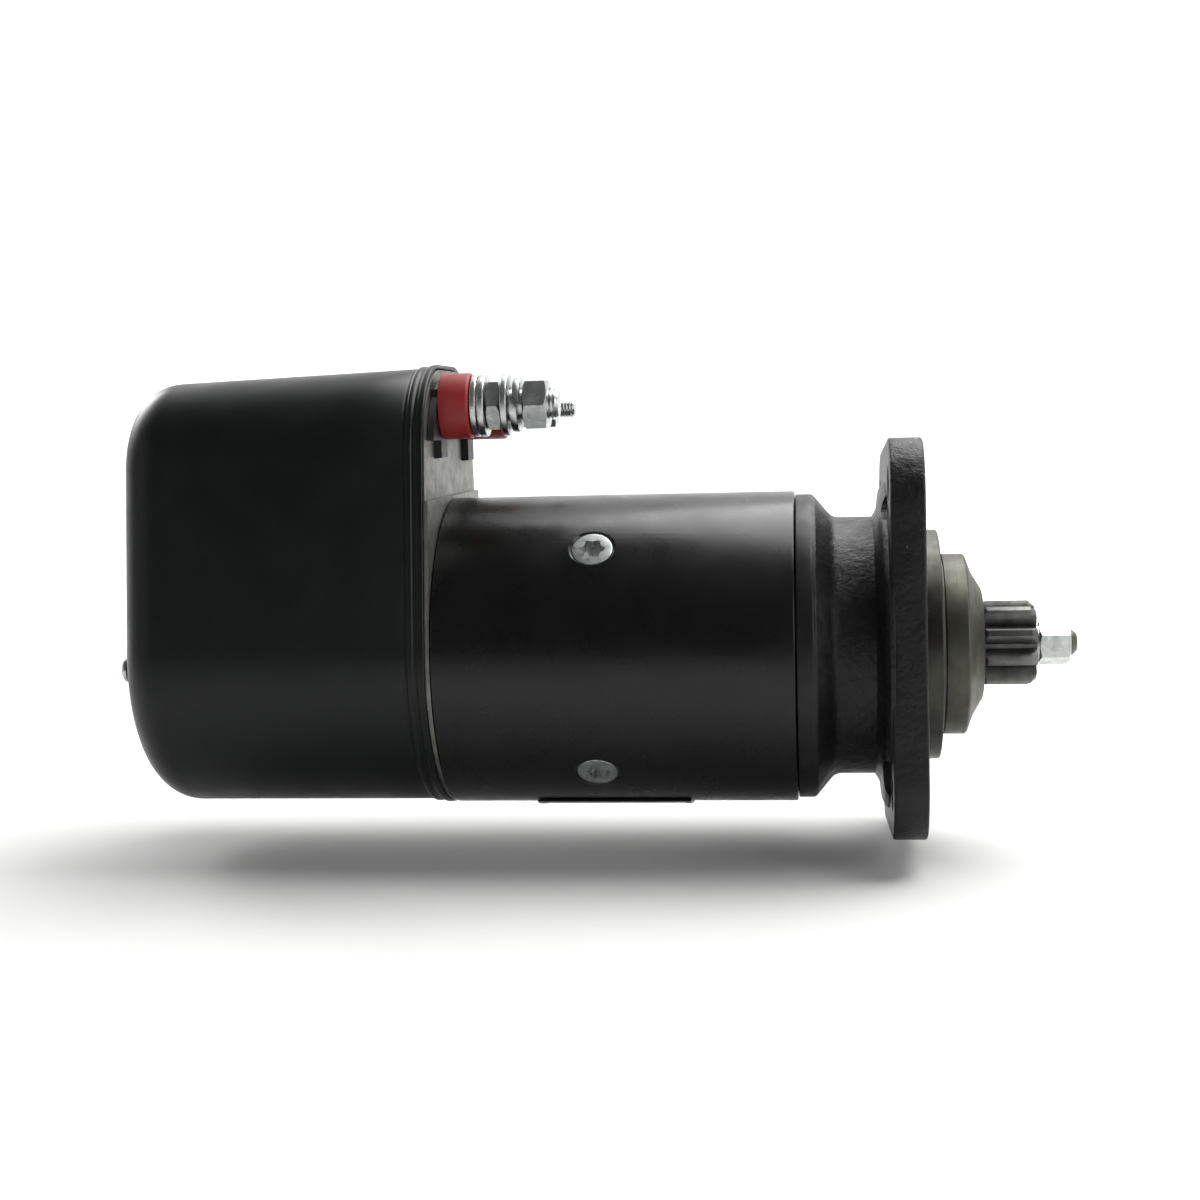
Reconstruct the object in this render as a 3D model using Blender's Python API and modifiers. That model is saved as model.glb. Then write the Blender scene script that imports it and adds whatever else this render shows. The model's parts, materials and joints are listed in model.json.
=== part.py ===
"""Starter motor for a heavy truck, 24 V, with a solenoid on the motor's own axis and a sliding pinion.

Frame: +X runs along the motor axis towards the pinion, +Z is up through the terminals. The origin is on the
motor axis, in the mounting face of the flange. Every length below is in millimetres until it reaches a
mesh, where MM turns it into metres. Profiles and outlines are computed from the driving dimensions.
"""
import math

import bmesh
import bpy
from mathutils import Matrix, Vector

MM = 0.001
GAP = 0.3                       # clearance left between two pieces that touch
AXIS_STEPS = 32                 # facets around the large turned pieces
INNER_STEPS = 20                # facets around the pieces inside
SMALL_STEPS = 16                # facets around studs, washers and screws

# Pole housing, the tube in the middle
HOUSING_R = 60.5
YOKE_WALL = 6.0
HOUSING_REAR = -181.5
HOUSING_FRONT = -47.4
POLE_X = -122.3                 # middle of the four poles
POLE_HALF = 27.5
POLE_ANGLES = (45, 135, 225, 315)
PLATE_REAR, PLATE_FRONT = -148.5, -88.5
PLATE_HALF_ANGLE = 21

# Drive-end housing, flange, pilot and nose
FLANGE_BACK = -12.7
FLANGE_HALF_WIDTH = 60.0
FLANGE_TOP = 77.5
FLANGE_BOTTOM = -71.5
FLANGE_CORNER = 24.0
FLANGE_CLOCK = -5.5             # turn of the flange about the motor axis, in degrees
BOLT_HOLE_R = 6.75
BOLT_HOLES = ((-41.0, 59.5), (41.0, 59.5), (-41.0, -53.5), (41.0, -53.5))
PILOT_R = 44.5
PILOT_FRONT = 7.0
NECK_R = 50.0
FLANGE_ROOT_R = 58.2            # turned pad behind the flange, inside the bolt holes
COLLAR_R = 59.2
NOSE_R = 35.0
BEARING_R = 19.1

# Rear cap and commutator-end frame: an arch with a round foot and a flat top
ARCH_R = 59.5
ARCH_TOP = 111.6
ARCH_LEAN = math.radians(6.8)
ARCH_CORNER = 36.0
CAP_FRONT = -183.6
CAP_REAR = -302.8
CAP_FILLET = 17.0
CAP_TAPER = math.tan(math.radians(2.0))
CAP_WALL = 1.5
CAP_SCREW_Y, CAP_SCREW_Z = 38.0, -2.0
CAP_SCREW_SEAT = CAP_REAR - 1.6         # underside of the screw heads, just off the crowned face
FRAME_REAR = -194.0
FRAME_UPPER_FACE = -183.2
FRAME_LOWER_FACE = -181.8
FRAME_STEP_Z = 65.4             # the frame's face is deeper above this height
BUSH_BORE_R = 12.9
BOLT_Y = 50.6                   # the two through bolts

# Terminals
TERMINAL_Z = 96.5
BATTERY_Y = -25.0
CONTROL_Y = 25.0
CONTROL_Z = 94.9
BATTERY_STUD_R = 6.0
CONTROL_STUD_R = 4.0
BATTERY_NUT_AF = 18.0
CONTROL_NUT_AF = 13.0
BLOCK_FRONT = -180.4
BLOCK_REAR = -204.0
BLOCK_LEGS = ((-30.0, -18.5, 77.1), (25.3, 37.5, 74.9))     # both sides and the foot of each leg
INSULATOR_REAR = BLOCK_FRONT + GAP
BATTERY_STACK = (-168.6, -165.9, -162.9, -157.0, -154.2, -149.0, -139.3)    # front faces, rear to front
BATTERY_TIP = -135.5
CONTROL_TIP = -135.7
CONTACT_REAR, CONTACT_FRONT = -207.3, BLOCK_REAR - GAP
BRIDGE_REAR, BRIDGE_FRONT = -214.0, -211.0
PIN_Y = -12.5                   # guide pin of the contact bridge

# Armature, clutch and drive
CORE_R = 36.2
CORE_SLOTS = 19
COMMUTATOR_R = 22.0
DRUM_FRONT, DRUM_REAR = -50.0, -88.5
BRUSH_ANGLES = (0, 90, 180, 270)
BRUSH_REAR, BRUSH_FRONT = -173.5, -162.5
BRUSH_HALF = 7.5
BRUSH_FOOT, BRUSH_TOP = COMMUTATOR_R + 0.5, 37.0
SHAFT_R = 11.0
SHAFT_BORE_R = 4.6
ROD_R = 4.2
SPINDLE_R = 14.0
PINION_TEETH = 9
PINION_TIP_R = 16.5
PINION_ROOT_R = 10.4
PINION_REAR, PINION_FRONT = 24.5, 44.0
PINION_NUT_AF = 15.0
SPLINES = 6

# Solenoid, relay and contacts, all under the rear cap
SOLENOID_R = 38.0
PLUNGER_R = 13.2
RELAY_Y, RELAY_Z, RELAY_R = 24.0, 65.5, 19.0

ALONG_X = Matrix.Rotation(math.radians(90), 4, "Y")                     # local Z to world X
OUTLINE_TO_X = Matrix.Rotation(math.radians(90), 4, "Z") @ Matrix.Rotation(math.radians(90), 4, "X")

for old in list(bpy.data.objects):
    bpy.data.objects.remove(old, do_unlink=True)
parts = bpy.data.collections.new("starter_motor")
cutters = bpy.data.collections.new("cutters")
bpy.context.scene.collection.children.link(parts)
bpy.context.scene.collection.children.link(cutters)


# ---------------------------------------------------------------- materials

def material(name, colour, roughness, metallic):
    made = bpy.data.materials.new(name)
    made.use_nodes = True
    shader = made.node_tree.nodes["Principled BSDF"]
    shader.inputs["Base Color"].default_value = (*colour, 1.0)
    shader.inputs["Roughness"].default_value = roughness
    shader.inputs["Metallic"].default_value = metallic
    return made


CAP_PAINT = material("cap_paint", (0.030, 0.033, 0.032), 0.42, 0.0)
HOUSING_PAINT = material("housing_paint", (0.022, 0.024, 0.024), 0.35, 0.0)
CAST_PAINT = material("cast_paint", (0.025, 0.025, 0.024), 0.55, 0.0)
CAST_ALUMINIUM = material("cast_aluminium", (0.55, 0.55, 0.53), 0.45, 0.9)
TURNED_STEEL = material("turned_steel", (0.42, 0.40, 0.37), 0.35, 1.0)
GEAR_STEEL = material("gear_steel", (0.25, 0.25, 0.25), 0.35, 1.0)
ZINC = material("zinc", (0.72, 0.73, 0.72), 0.28, 1.0)
RED_PLASTIC = material("red_plastic", (0.36, 0.035, 0.035), 0.5, 0.0)
BLACK_PLASTIC = material("black_plastic", (0.02, 0.02, 0.02), 0.5, 0.0)
COPPER = material("copper", (0.75, 0.35, 0.2), 0.35, 1.0)
IRON = material("iron", (0.18, 0.18, 0.19), 0.5, 1.0)
BRONZE = material("bronze", (0.55, 0.38, 0.2), 0.4, 1.0)
CARBON = material("carbon", (0.05, 0.05, 0.055), 0.6, 0.0)
RUBBER = material("seal_rubber", (0.02, 0.02, 0.02), 0.7, 0.0)
SPRING_STEEL = material("spring_steel", (0.5, 0.5, 0.5), 0.3, 1.0)
BLANK_PLATE = material("blank_plate", (0.03, 0.03, 0.03), 0.4, 0.0)


# ---------------------------------------------------------------- modelling helpers

def add_object(name, mesh, finish, place, collection):
    made = bpy.data.objects.new(name, mesh)
    made.matrix_world = place
    collection.objects.link(made)
    if finish is not None:
        mesh.materials.append(finish)
    if collection is cutters:
        made.hide_render = True
        made.display_type = "WIRE"
    return made


def at(y=0.0, z=0.0, x=0.0):
    """A place on the motor, in millimetres."""
    return Matrix.Translation(Vector((x, y, z)) * MM)


def turned(name, outer, inner, finish, place=None, steps=AXIS_STEPS, collection=parts):
    """Turns a profile of (x, radius) points about the X axis.

    Both lists run from front (high x) to rear. Without an inner list the piece is solid.
    """
    if inner:
        points = list(outer) + list(reversed(inner))
    else:
        points = [(outer[0][0], 0.0)] + list(outer) + [(outer[-1][0], 0.0)]
    mesh = bpy.data.meshes.new(name)
    vertices = [(radius * MM, 0.0, x * MM) for x, radius in points]
    edges = [(i, i + 1) for i in range(len(points) - 1)]
    if inner:
        edges.append((len(points) - 1, 0))
    mesh.from_pydata(vertices, edges, [])
    made = add_object(name, mesh, finish, (place or Matrix()) @ ALONG_X, collection)
    screw = made.modifiers.new("turn", "SCREW")
    screw.axis = "Z"
    screw.steps = steps
    screw.render_steps = steps
    screw.use_merge_vertices = True
    screw.merge_threshold = 0.00001
    return made


def baked(source, name, finish, collection):
    """Replaces an object by the closed mesh that its curve or modifiers make."""
    bpy.context.view_layer.update()
    graph = bpy.context.evaluated_depsgraph_get()
    mesh = bpy.data.meshes.new_from_object(source.evaluated_get(graph))
    mesh.name = name
    mesh.materials.clear()
    work = bmesh.new()
    work.from_mesh(mesh)
    bmesh.ops.remove_doubles(work, verts=work.verts, dist=0.000002)
    bmesh.ops.recalc_face_normals(work, faces=work.faces)
    work.to_mesh(mesh)
    work.free()
    place = source.matrix_world.copy()
    bpy.data.objects.remove(source, do_unlink=True)
    return add_object(name, mesh, finish, place, collection)


def extruded(name, outlines, rear, front, finish, place=None, collection=parts):
    """Extrudes closed (y, z) outlines along X; outlines inside the first are holes."""
    curve = bpy.data.curves.new(name, "CURVE")
    curve.dimensions = "2D"
    curve.fill_mode = "BOTH"
    curve.extrude = (front - rear) / 2 * MM
    for outline in outlines:
        spline = curve.splines.new("POLY")
        spline.points.add(len(outline) - 1)
        for point, (y, z) in zip(spline.points, outline):
            point.co = (y * MM, z * MM, 0.0, 1.0)
        spline.use_cyclic_u = True
    guide = bpy.data.objects.new(name + "_outline", curve)
    middle = at(x=(front + rear) / 2)
    guide.matrix_world = (place or Matrix()) @ middle @ OUTLINE_TO_X
    cutters.objects.link(guide)
    return baked(guide, name, finish, collection)


def box(name, low, high, finish, place=None, collection=parts):
    mesh = bpy.data.meshes.new(name)
    work = bmesh.new()
    bmesh.ops.create_cube(work, size=1.0)
    size = [(b - a) * MM for a, b in zip(low, high)]
    middle = [(a + b) / 2 * MM for a, b in zip(low, high)]
    bmesh.ops.scale(work, vec=size, verts=work.verts)
    bmesh.ops.translate(work, vec=middle, verts=work.verts)
    work.to_mesh(mesh)
    work.free()
    return add_object(name, mesh, finish, place or Matrix(), collection)


def coil(name, finish, rear, front, radius, wire, turns, place=None, points_per_turn=8):
    """A helical spring along X."""
    curve = bpy.data.curves.new(name, "CURVE")
    curve.dimensions = "3D"
    curve.bevel_depth = wire * MM
    curve.bevel_resolution = 1
    curve.use_fill_caps = True
    count = int(turns * points_per_turn)
    spline = curve.splines.new("POLY")
    spline.points.add(count)
    for i, point in enumerate(spline.points):
        angle = math.tau * turns * i / count
        x = rear + wire + (front - rear - 2 * wire) * i / count
        point.co = (x * MM, radius * math.cos(angle) * MM, radius * math.sin(angle) * MM, 1.0)
    guide = bpy.data.objects.new(name + "_path", curve)
    guide.matrix_world = place or Matrix()
    cutters.objects.link(guide)
    return baked(guide, name, finish, parts)


def combine(target, tool, operation):
    step = target.modifiers.new(operation.lower(), "BOOLEAN")
    step.operation = operation
    step.object = tool
    step.solver = "EXACT"


def cut(target, tool):
    combine(target, tool, "DIFFERENCE")


def fuse(target, tool):
    combine(target, tool, "UNION")


def round_cutter(name, rear, front, radius, place=None, steps=SMALL_STEPS):
    return turned(name, [(front, radius), (rear, radius)], None, None, place, steps, cutters)


def box_cutter(name, low, high, place=None):
    return box(name, low, high, None, place, cutters)


def ring(name, rear, front, inner, outer, finish, place=None, steps=SMALL_STEPS, collection=parts):
    outside = [(front, outer), (rear, outer)]
    inside = [(front, inner), (rear, inner)]
    return turned(name, outside, inside, finish, place, steps, collection)


def about_x(degrees):
    """Turns a piece that lies along +Y to the given angle about the motor axis."""
    return Matrix.Rotation(math.radians(degrees), 4, "X")


def radial(degrees, x):
    """A frame whose X axis points outwards along a radius at the given angle."""
    return at(x=x) @ about_x(degrees) @ Matrix.Rotation(math.radians(90), 4, "Z")


# ---------------------------------------------------------------- outlines

def arc(centre, radius, start, end, segments):
    """Points on an arc, angles in radians from +Y towards +Z."""
    steps = [start + (end - start) * i / segments for i in range(segments + 1)]
    return [(centre[0] + radius * math.cos(a), centre[1] + radius * math.sin(a)) for a in steps]


def arch(inset=0.0, drop=0.0):
    """The closed outline shared by the rear cap and the commutator-end frame.

    A round foot about the motor axis, two straight sides that lean inwards, and a flat top with round
    corners. inset moves the whole outline inwards; drop lowers the top.
    """
    top = ARCH_TOP - drop
    corner_z = top - ARCH_CORNER
    corner_y = (ARCH_R - ARCH_CORNER - corner_z * math.sin(ARCH_LEAN)) / math.cos(ARCH_LEAN)
    foot = arc((0.0, 0.0), ARCH_R - inset, math.radians(-90), ARCH_LEAN, 8)
    corner = arc((corner_y, corner_z), ARCH_CORNER - inset, ARCH_LEAN, math.radians(90), 5)
    side = [tuple((a + b) / 2 for a, b in zip(foot[-1], corner[0]))]
    right = foot + side + corner
    left = [(-y, z) for y, z in reversed(right[1:])]
    return right + left


def rounded_rectangle(low_y, high_y, low_z, high_z, radius, segments=5):
    points = []
    corners = ((high_y - radius, high_z - radius, 0), (low_y + radius, high_z - radius, 90),
               (low_y + radius, low_z + radius, 180), (high_y - radius, low_z + radius, 270))
    for y, z, start in corners:
        points += arc((y, z), radius, math.radians(start), math.radians(start + 90), segments)
    return points


def circle(radius, segments, centre=(0.0, 0.0)):
    return arc(centre, radius, 0.0, math.tau * (segments - 1) / segments, segments - 1)


def hexagon(across_flats, turn=0.0):
    corner = across_flats / math.sqrt(3)
    return [(corner * math.cos(a), corner * math.sin(a))
            for a in (math.radians(turn + 60 * i) for i in range(6))]


def toothed(teeth, root, tip, root_share, tip_share, per_flank=2):
    """A gear, spline or slotted outline: each tooth has its share of a pitch at the root and at the tip."""
    points = []
    pitch = math.tau / teeth
    for tooth in range(teeth):
        middle = tooth * pitch
        levels = [i / per_flank for i in range(per_flank + 1)]
        rising = [(-1, level) for level in levels]
        falling = [(1, level) for level in reversed(levels)]
        for side, level in rising + falling:
            share = root_share + (tip_share - root_share) * level ** 1.4
            radius = root + (tip - root) * level
            angle = middle + side * share * pitch / 2
            points.append((radius * math.cos(angle), radius * math.sin(angle)))
    return points


# ---------------------------------------------------------------- rear end

def rear_cap():
    """A deep-drawn cap: one open surface from the rim to the rear face, given a wall by Solidify."""
    rim = [(CAP_FRONT, -1.2), (CAP_FRONT - 1.2, -1.2), (CAP_FRONT - 2.8, -0.3), (CAP_FRONT - 5.6, -0.3),
           (CAP_FRONT - 6.4, 0.0), (CAP_FRONT - 54.0, 0.0)]
    fillet_start = CAP_REAR + CAP_FILLET
    bends = [math.radians(a) for a in (0, 30, 60, 90)]
    fillet = [(fillet_start - CAP_FILLET * math.sin(a), CAP_FILLET * (1 - math.cos(a))) for a in bends]
    rings = []
    for x, inset in rim + fillet:
        drop = (CAP_FRONT - x) * CAP_TAPER
        rings.append([(x, y, z) for y, z in arch(inset, drop)])
    crown_middle = (0.0, 20.0)
    for share, rise in ((0.62, 1.6), (0.25, 2.4)):
        last = rings[len(rim) + len(fillet) - 1]
        rings.append([(CAP_REAR - rise, crown_middle[0] + (y - crown_middle[0]) * share,
                       crown_middle[1] + (z - crown_middle[1]) * share) for _, y, z in last])
    work = bmesh.new()
    loops = [[work.verts.new(Vector(p) * MM) for p in points] for points in rings]
    for front, back in zip(loops, loops[1:]):
        for i in range(len(front)):
            j = (i + 1) % len(front)
            work.faces.new((front[i], front[j], back[j], back[i]))
    work.faces.new(loops[-1])
    bmesh.ops.recalc_face_normals(work, faces=work.faces)
    mesh = bpy.data.meshes.new("rear_cap")
    work.to_mesh(mesh)
    work.free()
    made = add_object("rear_cap", mesh, CAP_PAINT, Matrix(), parts)
    wall = made.modifiers.new("wall", "SOLIDIFY")
    wall.thickness = CAP_WALL * MM
    wall.offset = -1.0
    for side in (-1, 1):
        seat = at(y=side * CAP_SCREW_Y, z=CAP_SCREW_Z)
        hole = round_cutter("cap_screw_hole", CAP_REAR - 6, CAP_REAR + 8, 3.4, seat)
        cut(made, hole)


def rear_cap_screws():
    """Two low-headed screws that hold the cap from behind."""
    for number, side in enumerate((-1, 1), 1):
        place = at(y=side * CAP_SCREW_Y, z=CAP_SCREW_Z)
        seat = CAP_SCREW_SEAT
        tip = CAP_REAR + 20.5
        profile = [(tip, 2.6), (tip - 0.5, 3.0), (seat, 3.0), (seat, 4.8), (seat - 1.4, 4.8),
                   (seat - 2.4, 3.6)]
        turned(f"rear_cap_screw_{number}", profile, None, ZINC, place, 12)


def commutator_end_frame():
    """Die-cast frame between the cap and the pole housing, with the bearing hub and the terminal face."""
    made = extruded("commutator_end_frame", [arch(2.2)], FRAME_REAR, FRAME_UPPER_FACE, CAST_ALUMINIUM)
    edge = extruded("frame_edge", [arch(0.9)], CAP_FRONT - 1.2, FRAME_UPPER_FACE, None, collection=cutters)
    lower = [(y, min(z, FRAME_STEP_Z)) for y, z in arch(-0.4) if z < FRAME_STEP_Z + 8]
    flange = extruded("frame_flange", [lower], CAP_FRONT + GAP, FRAME_LOWER_FACE, None, collection=cutters)
    spigot = turned("frame_spigot", [(-175.0, 53.9), (-190.0, 53.9)], [(-175.0, 50.0), (-190.0, 50.0)],
                    None, steps=AXIS_STEPS, collection=cutters)
    hub = round_cutter("frame_hub", -200.0, -182.6, 20.0)
    for piece in (edge, flange, spigot, hub):
        fuse(made, piece)
    cut(made, round_cutter("frame_bore", -210.0, -170.0, BUSH_BORE_R))
    cut(made, box_cutter("frame_terminal_window", (-200, -33.4, 85.7), (-175, 33.4, 103.3)))
    for low, high, foot in BLOCK_LEGS:
        slot = box_cutter("frame_leg_slot", (-186.5, low - GAP, foot - GAP), (-175, high + GAP, 90.0))
        cut(made, slot)
    cut(made, box_cutter("frame_lead_window", (-210, -7.0, 41.5), (-170, 3.0, 50.5)))
    for side in (-1, 1):
        cut(made, round_cutter("frame_bolt_hole", -210, -170, 3.5, at(y=side * BOLT_Y)))


def rear_bearing_bush():
    ring("rear_bearing_bush", -197.0, -184.0, 9.3, BUSH_BORE_R - GAP, BRONZE)


def terminal_block():
    """Black moulding that insulates both studs: a face plate with two legs and a boss through the frame."""
    face = [(y, max(z, 83.8)) for y, z in arch(5.0) if z > 70.0]
    made = extruded("terminal_block", [face], FRAME_UPPER_FACE + GAP, BLOCK_FRONT, BLACK_PLASTIC)
    fuse(made, box_cutter("block_boss", (BLOCK_REAR, -33.0, 86.0), (-181.0, 33.0, 103.0)))
    for low, high, foot in BLOCK_LEGS:
        fuse(made, box_cutter("block_leg", (-186.0, low, foot), (BLOCK_FRONT, high, 88.0)))
    holes = ((BATTERY_Y, TERMINAL_Z, BATTERY_STUD_R), (CONTROL_Y, CONTROL_Z, CONTROL_STUD_R),
             (PIN_Y, TERMINAL_Z, 3.1))
    for y, z, radius in holes:
        cut(made, round_cutter("block_hole", -210, -170, radius + GAP, at(y=y, z=z)))


def battery_terminal():
    place = at(y=BATTERY_Y, z=TERMINAL_Z)
    bore = BATTERY_STUD_R + GAP
    insulator, first, second, lock, third, split, clamp = BATTERY_STACK
    turned("battery_insulator", [(insulator, 12.0), (insulator - 0.5, 12.5), (INSULATOR_REAR, 12.5)],
           [(insulator, bore), (INSULATOR_REAR, bore)], RED_PLASTIC, place, INNER_STEPS)
    for number, (low, high) in enumerate(((insulator, first), (first, second), (lock, third)), 1):
        ring(f"battery_washer_{number}", low + GAP, high, bore, 11.8, ZINC, place)
    split_ring = ring("battery_spring_washer", third + 0.8, split - 0.4, bore, 10.4, ZINC, place)
    cut(split_ring, box_cutter("split_gap", (-170, -1.0, 0.0), (-140, 1.0, 14.0), place @ about_x(85)))
    hex_nut("battery_lock_nut", second + GAP, lock, BATTERY_NUT_AF, bore, place, 3.0)
    hex_nut("battery_clamp_nut", split + 0.4, clamp, BATTERY_NUT_AF, bore, place, 3.0)
    stud = turned("battery_stud", [(BATTERY_TIP, 5.0), (BATTERY_TIP - 1.0, 6.0), (CONTACT_REAR + 1.0, 6.0)],
                  None, ZINC, place, SMALL_STEPS)
    fuse(stud, box_cutter("stud_contact", (CONTACT_REAR, -6.0, -8.0), (CONTACT_FRONT, 8.0, 6.0), place))


def control_terminal():
    place = at(y=CONTROL_Y, z=CONTROL_Z)
    bore = CONTROL_STUD_R + GAP
    turned("control_insulator", [(-163.9, 11.3), (-164.4, 11.7), (INSULATOR_REAR, 11.7)],
           [(-163.9, bore), (INSULATOR_REAR, bore)], RED_PLASTIC, place, INNER_STEPS)
    nut = hex_nut("control_nut", -162.6, -155.2, CONTROL_NUT_AF, bore, place, 12.0)
    fuse(nut, ring("control_nut_flange", -163.6, -162.0, bore, 8.0, None, place, collection=cutters))
    turned("control_stud", [(CONTROL_TIP, 3.2), (CONTROL_TIP - 0.8, 4.0), (BLOCK_REAR, 4.0)],
           None, ZINC, place, 16)


def hex_nut(name, rear, front, across_flats, bore, place, turn):
    """A hexagon nut with both ends chamfered to its inscribed circle."""
    made = extruded(name, [hexagon(across_flats, turn), circle(bore, SMALL_STEPS)], rear, front, ZINC, place)
    corner = across_flats / math.sqrt(3)
    dress = [(front + 0.01, across_flats / 2 - 0.2), (front - 1.1, corner + 0.3), (rear + 1.1, corner + 0.3),
             (rear - 0.01, across_flats / 2 - 0.2)]
    combine(made, turned(name + "_chamfer", dress, None, None, place, SMALL_STEPS, cutters), "INTERSECT")
    return made


# ---------------------------------------------------------------- pole housing and field

def pole_housing():
    inner = HOUSING_R - YOKE_WALL
    outer_side = [(HOUSING_FRONT, HOUSING_R - 0.4), (HOUSING_FRONT - 0.4, HOUSING_R),
                  (HOUSING_REAR + 0.5, HOUSING_R), (HOUSING_REAR, HOUSING_R - 0.5)]
    made = turned("pole_housing", outer_side, [(HOUSING_FRONT, inner), (HOUSING_REAR, inner)], HOUSING_PAINT)
    for angle in POLE_ANGLES:
        sink = turned("countersink", [(HOUSING_R + 1.0, 9.9), (HOUSING_R - 3.6, 5.3), (HOUSING_R - 8, 5.3)],
                      None, None, radial(angle, POLE_X), SMALL_STEPS, cutters)
        cut(made, sink)


def pole_screws():
    """Four countersunk screws that hold the pole shoes to the tube."""
    for number, angle in enumerate(POLE_ANGLES, 1):
        place = radial(angle, POLE_X)
        head = [(HOUSING_R - 0.9, 7.4), (HOUSING_R - 3.5, 4.8), (46.0, 4.8)]
        screw = turned(f"pole_screw_{number}", head, None, ZINC, place, SMALL_STEPS)
        socket = extruded("socket", [hexagon(8.0)], HOUSING_R - 4.0, HOUSING_R + 1.0, None, place, cutters)
        cut(screw, socket)


def pole_shoe(number, angle):
    """A pole core with wide tips that follow the armature."""
    place = about_x(angle)
    tip, bore, seat = 42.0, CORE_R + 1.0, HOUSING_R - YOKE_WALL - GAP
    spread = math.radians(33)
    inner = arc((0, 0), bore, spread, -spread, 8)
    stem = 13.0
    foot_angle = math.asin(stem / tip)
    seat_angle = math.asin(stem / seat)
    outline = inner + arc((0, 0), tip, -spread, -foot_angle, 2)
    outline += arc((0, 0), seat, -seat_angle, seat_angle, 4) + arc((0, 0), tip, foot_angle, spread, 2)
    made = extruded(f"pole_shoe_{number}", [outline], POLE_X - POLE_HALF, POLE_X + POLE_HALF, IRON, place)
    cut(made, round_cutter("pole_hole", 45.0, 60.0, 5.2, radial(angle, POLE_X), 12))


def field_coils():
    """Four flat coils, one around each pole stem, joined in series by a round link at the rear."""
    link = ring("field_coils", -158.6, -156.4, 43.4, 47.0, COPPER, steps=INNER_STEPS)
    outline = rounded_rectangle(-36.2, 36.2, -24.0, 24.0, 9.0, 3)
    window = rounded_rectangle(-28.2, 28.2, -13.8, 13.8, 0.6, 1)
    for angle in POLE_ANGLES:
        place = radial(angle, POLE_X)
        fuse(link, extruded("coil", [outline, window], 42.6, 47.7, None, place, cutters))


def rating_plate():
    """A blank plate fixed around the underside of the tube."""
    low, high = HOUSING_R + GAP, HOUSING_R + 1.1
    start, end = math.radians(-90 - PLATE_HALF_ANGLE), math.radians(-90 + PLATE_HALF_ANGLE)
    outline = arc((0, 0), high, start, end, 10) + arc((0, 0), low, end, start, 10)
    extruded("rating_plate", [outline], PLATE_REAR, PLATE_FRONT, BLANK_PLATE)


def through_bolts():
    """Two long bolts from the commutator-end frame to the drive-end housing."""
    seat = FRAME_REAR - GAP
    profile = [(-43.9, 2.4), (-44.5, 3.0), (seat, 3.0), (seat, 5.2), (seat - 4.2, 5.2)]
    for number, side in enumerate((-1, 1), 1):
        turned(f"through_bolt_{number}", profile, None, ZINC, at(y=side * BOLT_Y), 12)


# ---------------------------------------------------------------- drive end

def drive_end_housing():
    """Cast housing: collar, cone and neck turned about the axis, with the flange and pilot in one piece."""
    outer = [(PILOT_FRONT, PILOT_R - 0.9), (PILOT_FRONT - 0.9, PILOT_R), (-0.5, PILOT_R), (-0.5, NECK_R),
             (-33.0, NECK_R), (-40.6, COLLAR_R),
             (HOUSING_FRONT + GAP, COLLAR_R), (HOUSING_FRONT + GAP, 54.2), (-54.0, 54.2)]
    inner = [(PILOT_FRONT, BEARING_R + GAP), (-14.0, BEARING_R + GAP), (-14.0, 44.5), (-34.0, 44.5),
             (-42.0, 50.3), (-54.0, 50.3)]
    made = turned("drive_end_housing", outer, inner, CAST_PAINT)
    clock = about_x(FLANGE_CLOCK)
    plate = rounded_rectangle(-FLANGE_HALF_WIDTH, FLANGE_HALF_WIDTH, FLANGE_BOTTOM, FLANGE_TOP, FLANGE_CORNER)
    holes = [circle(BOLT_HOLE_R, 12, centre) for centre in BOLT_HOLES]
    opening = circle(NECK_R - 2.0, AXIS_STEPS)
    fuse(made, extruded("flange", [plate, opening] + holes, FLANGE_BACK, 0.0, None, clock, cutters))
    root = ring("flange_root", FLANGE_BACK - 2.8, FLANGE_BACK + 1.0, NECK_R - 2.0, FLANGE_ROOT_R, None,
                steps=AXIS_STEPS, collection=cutters)
    fuse(made, root)
    for side in (-1, 1):
        cut(made, round_cutter("bolt_seat", -60.0, -43.6, 3.4, at(y=side * BOLT_Y), 16))


def bearing_cover():
    """Turned steel nose that holds the seal in front of the pinion bearing."""
    rear = PILOT_FRONT + GAP
    outer = [(23.6, 22.0), (19.6, 28.2), (17.2, 34.6), (16.6, NOSE_R), (rear, NOSE_R)]
    lip, pocket = SPINDLE_R + 0.6, BEARING_R + GAP
    inner = [(23.6, lip), (13.2, lip), (13.2, pocket), (rear, pocket)]
    turned("bearing_cover", outer, inner, TURNED_STEEL)


def front_bearing():
    ring("front_bearing", -10.0, 6.7, SPINDLE_R + GAP, BEARING_R, BRONZE, steps=INNER_STEPS)


def shaft_seal():
    ring("shaft_seal", 7.4, 12.9, SPINDLE_R + GAP, BEARING_R, RUBBER, steps=INNER_STEPS)


# ---------------------------------------------------------------- armature and brushes

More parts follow.
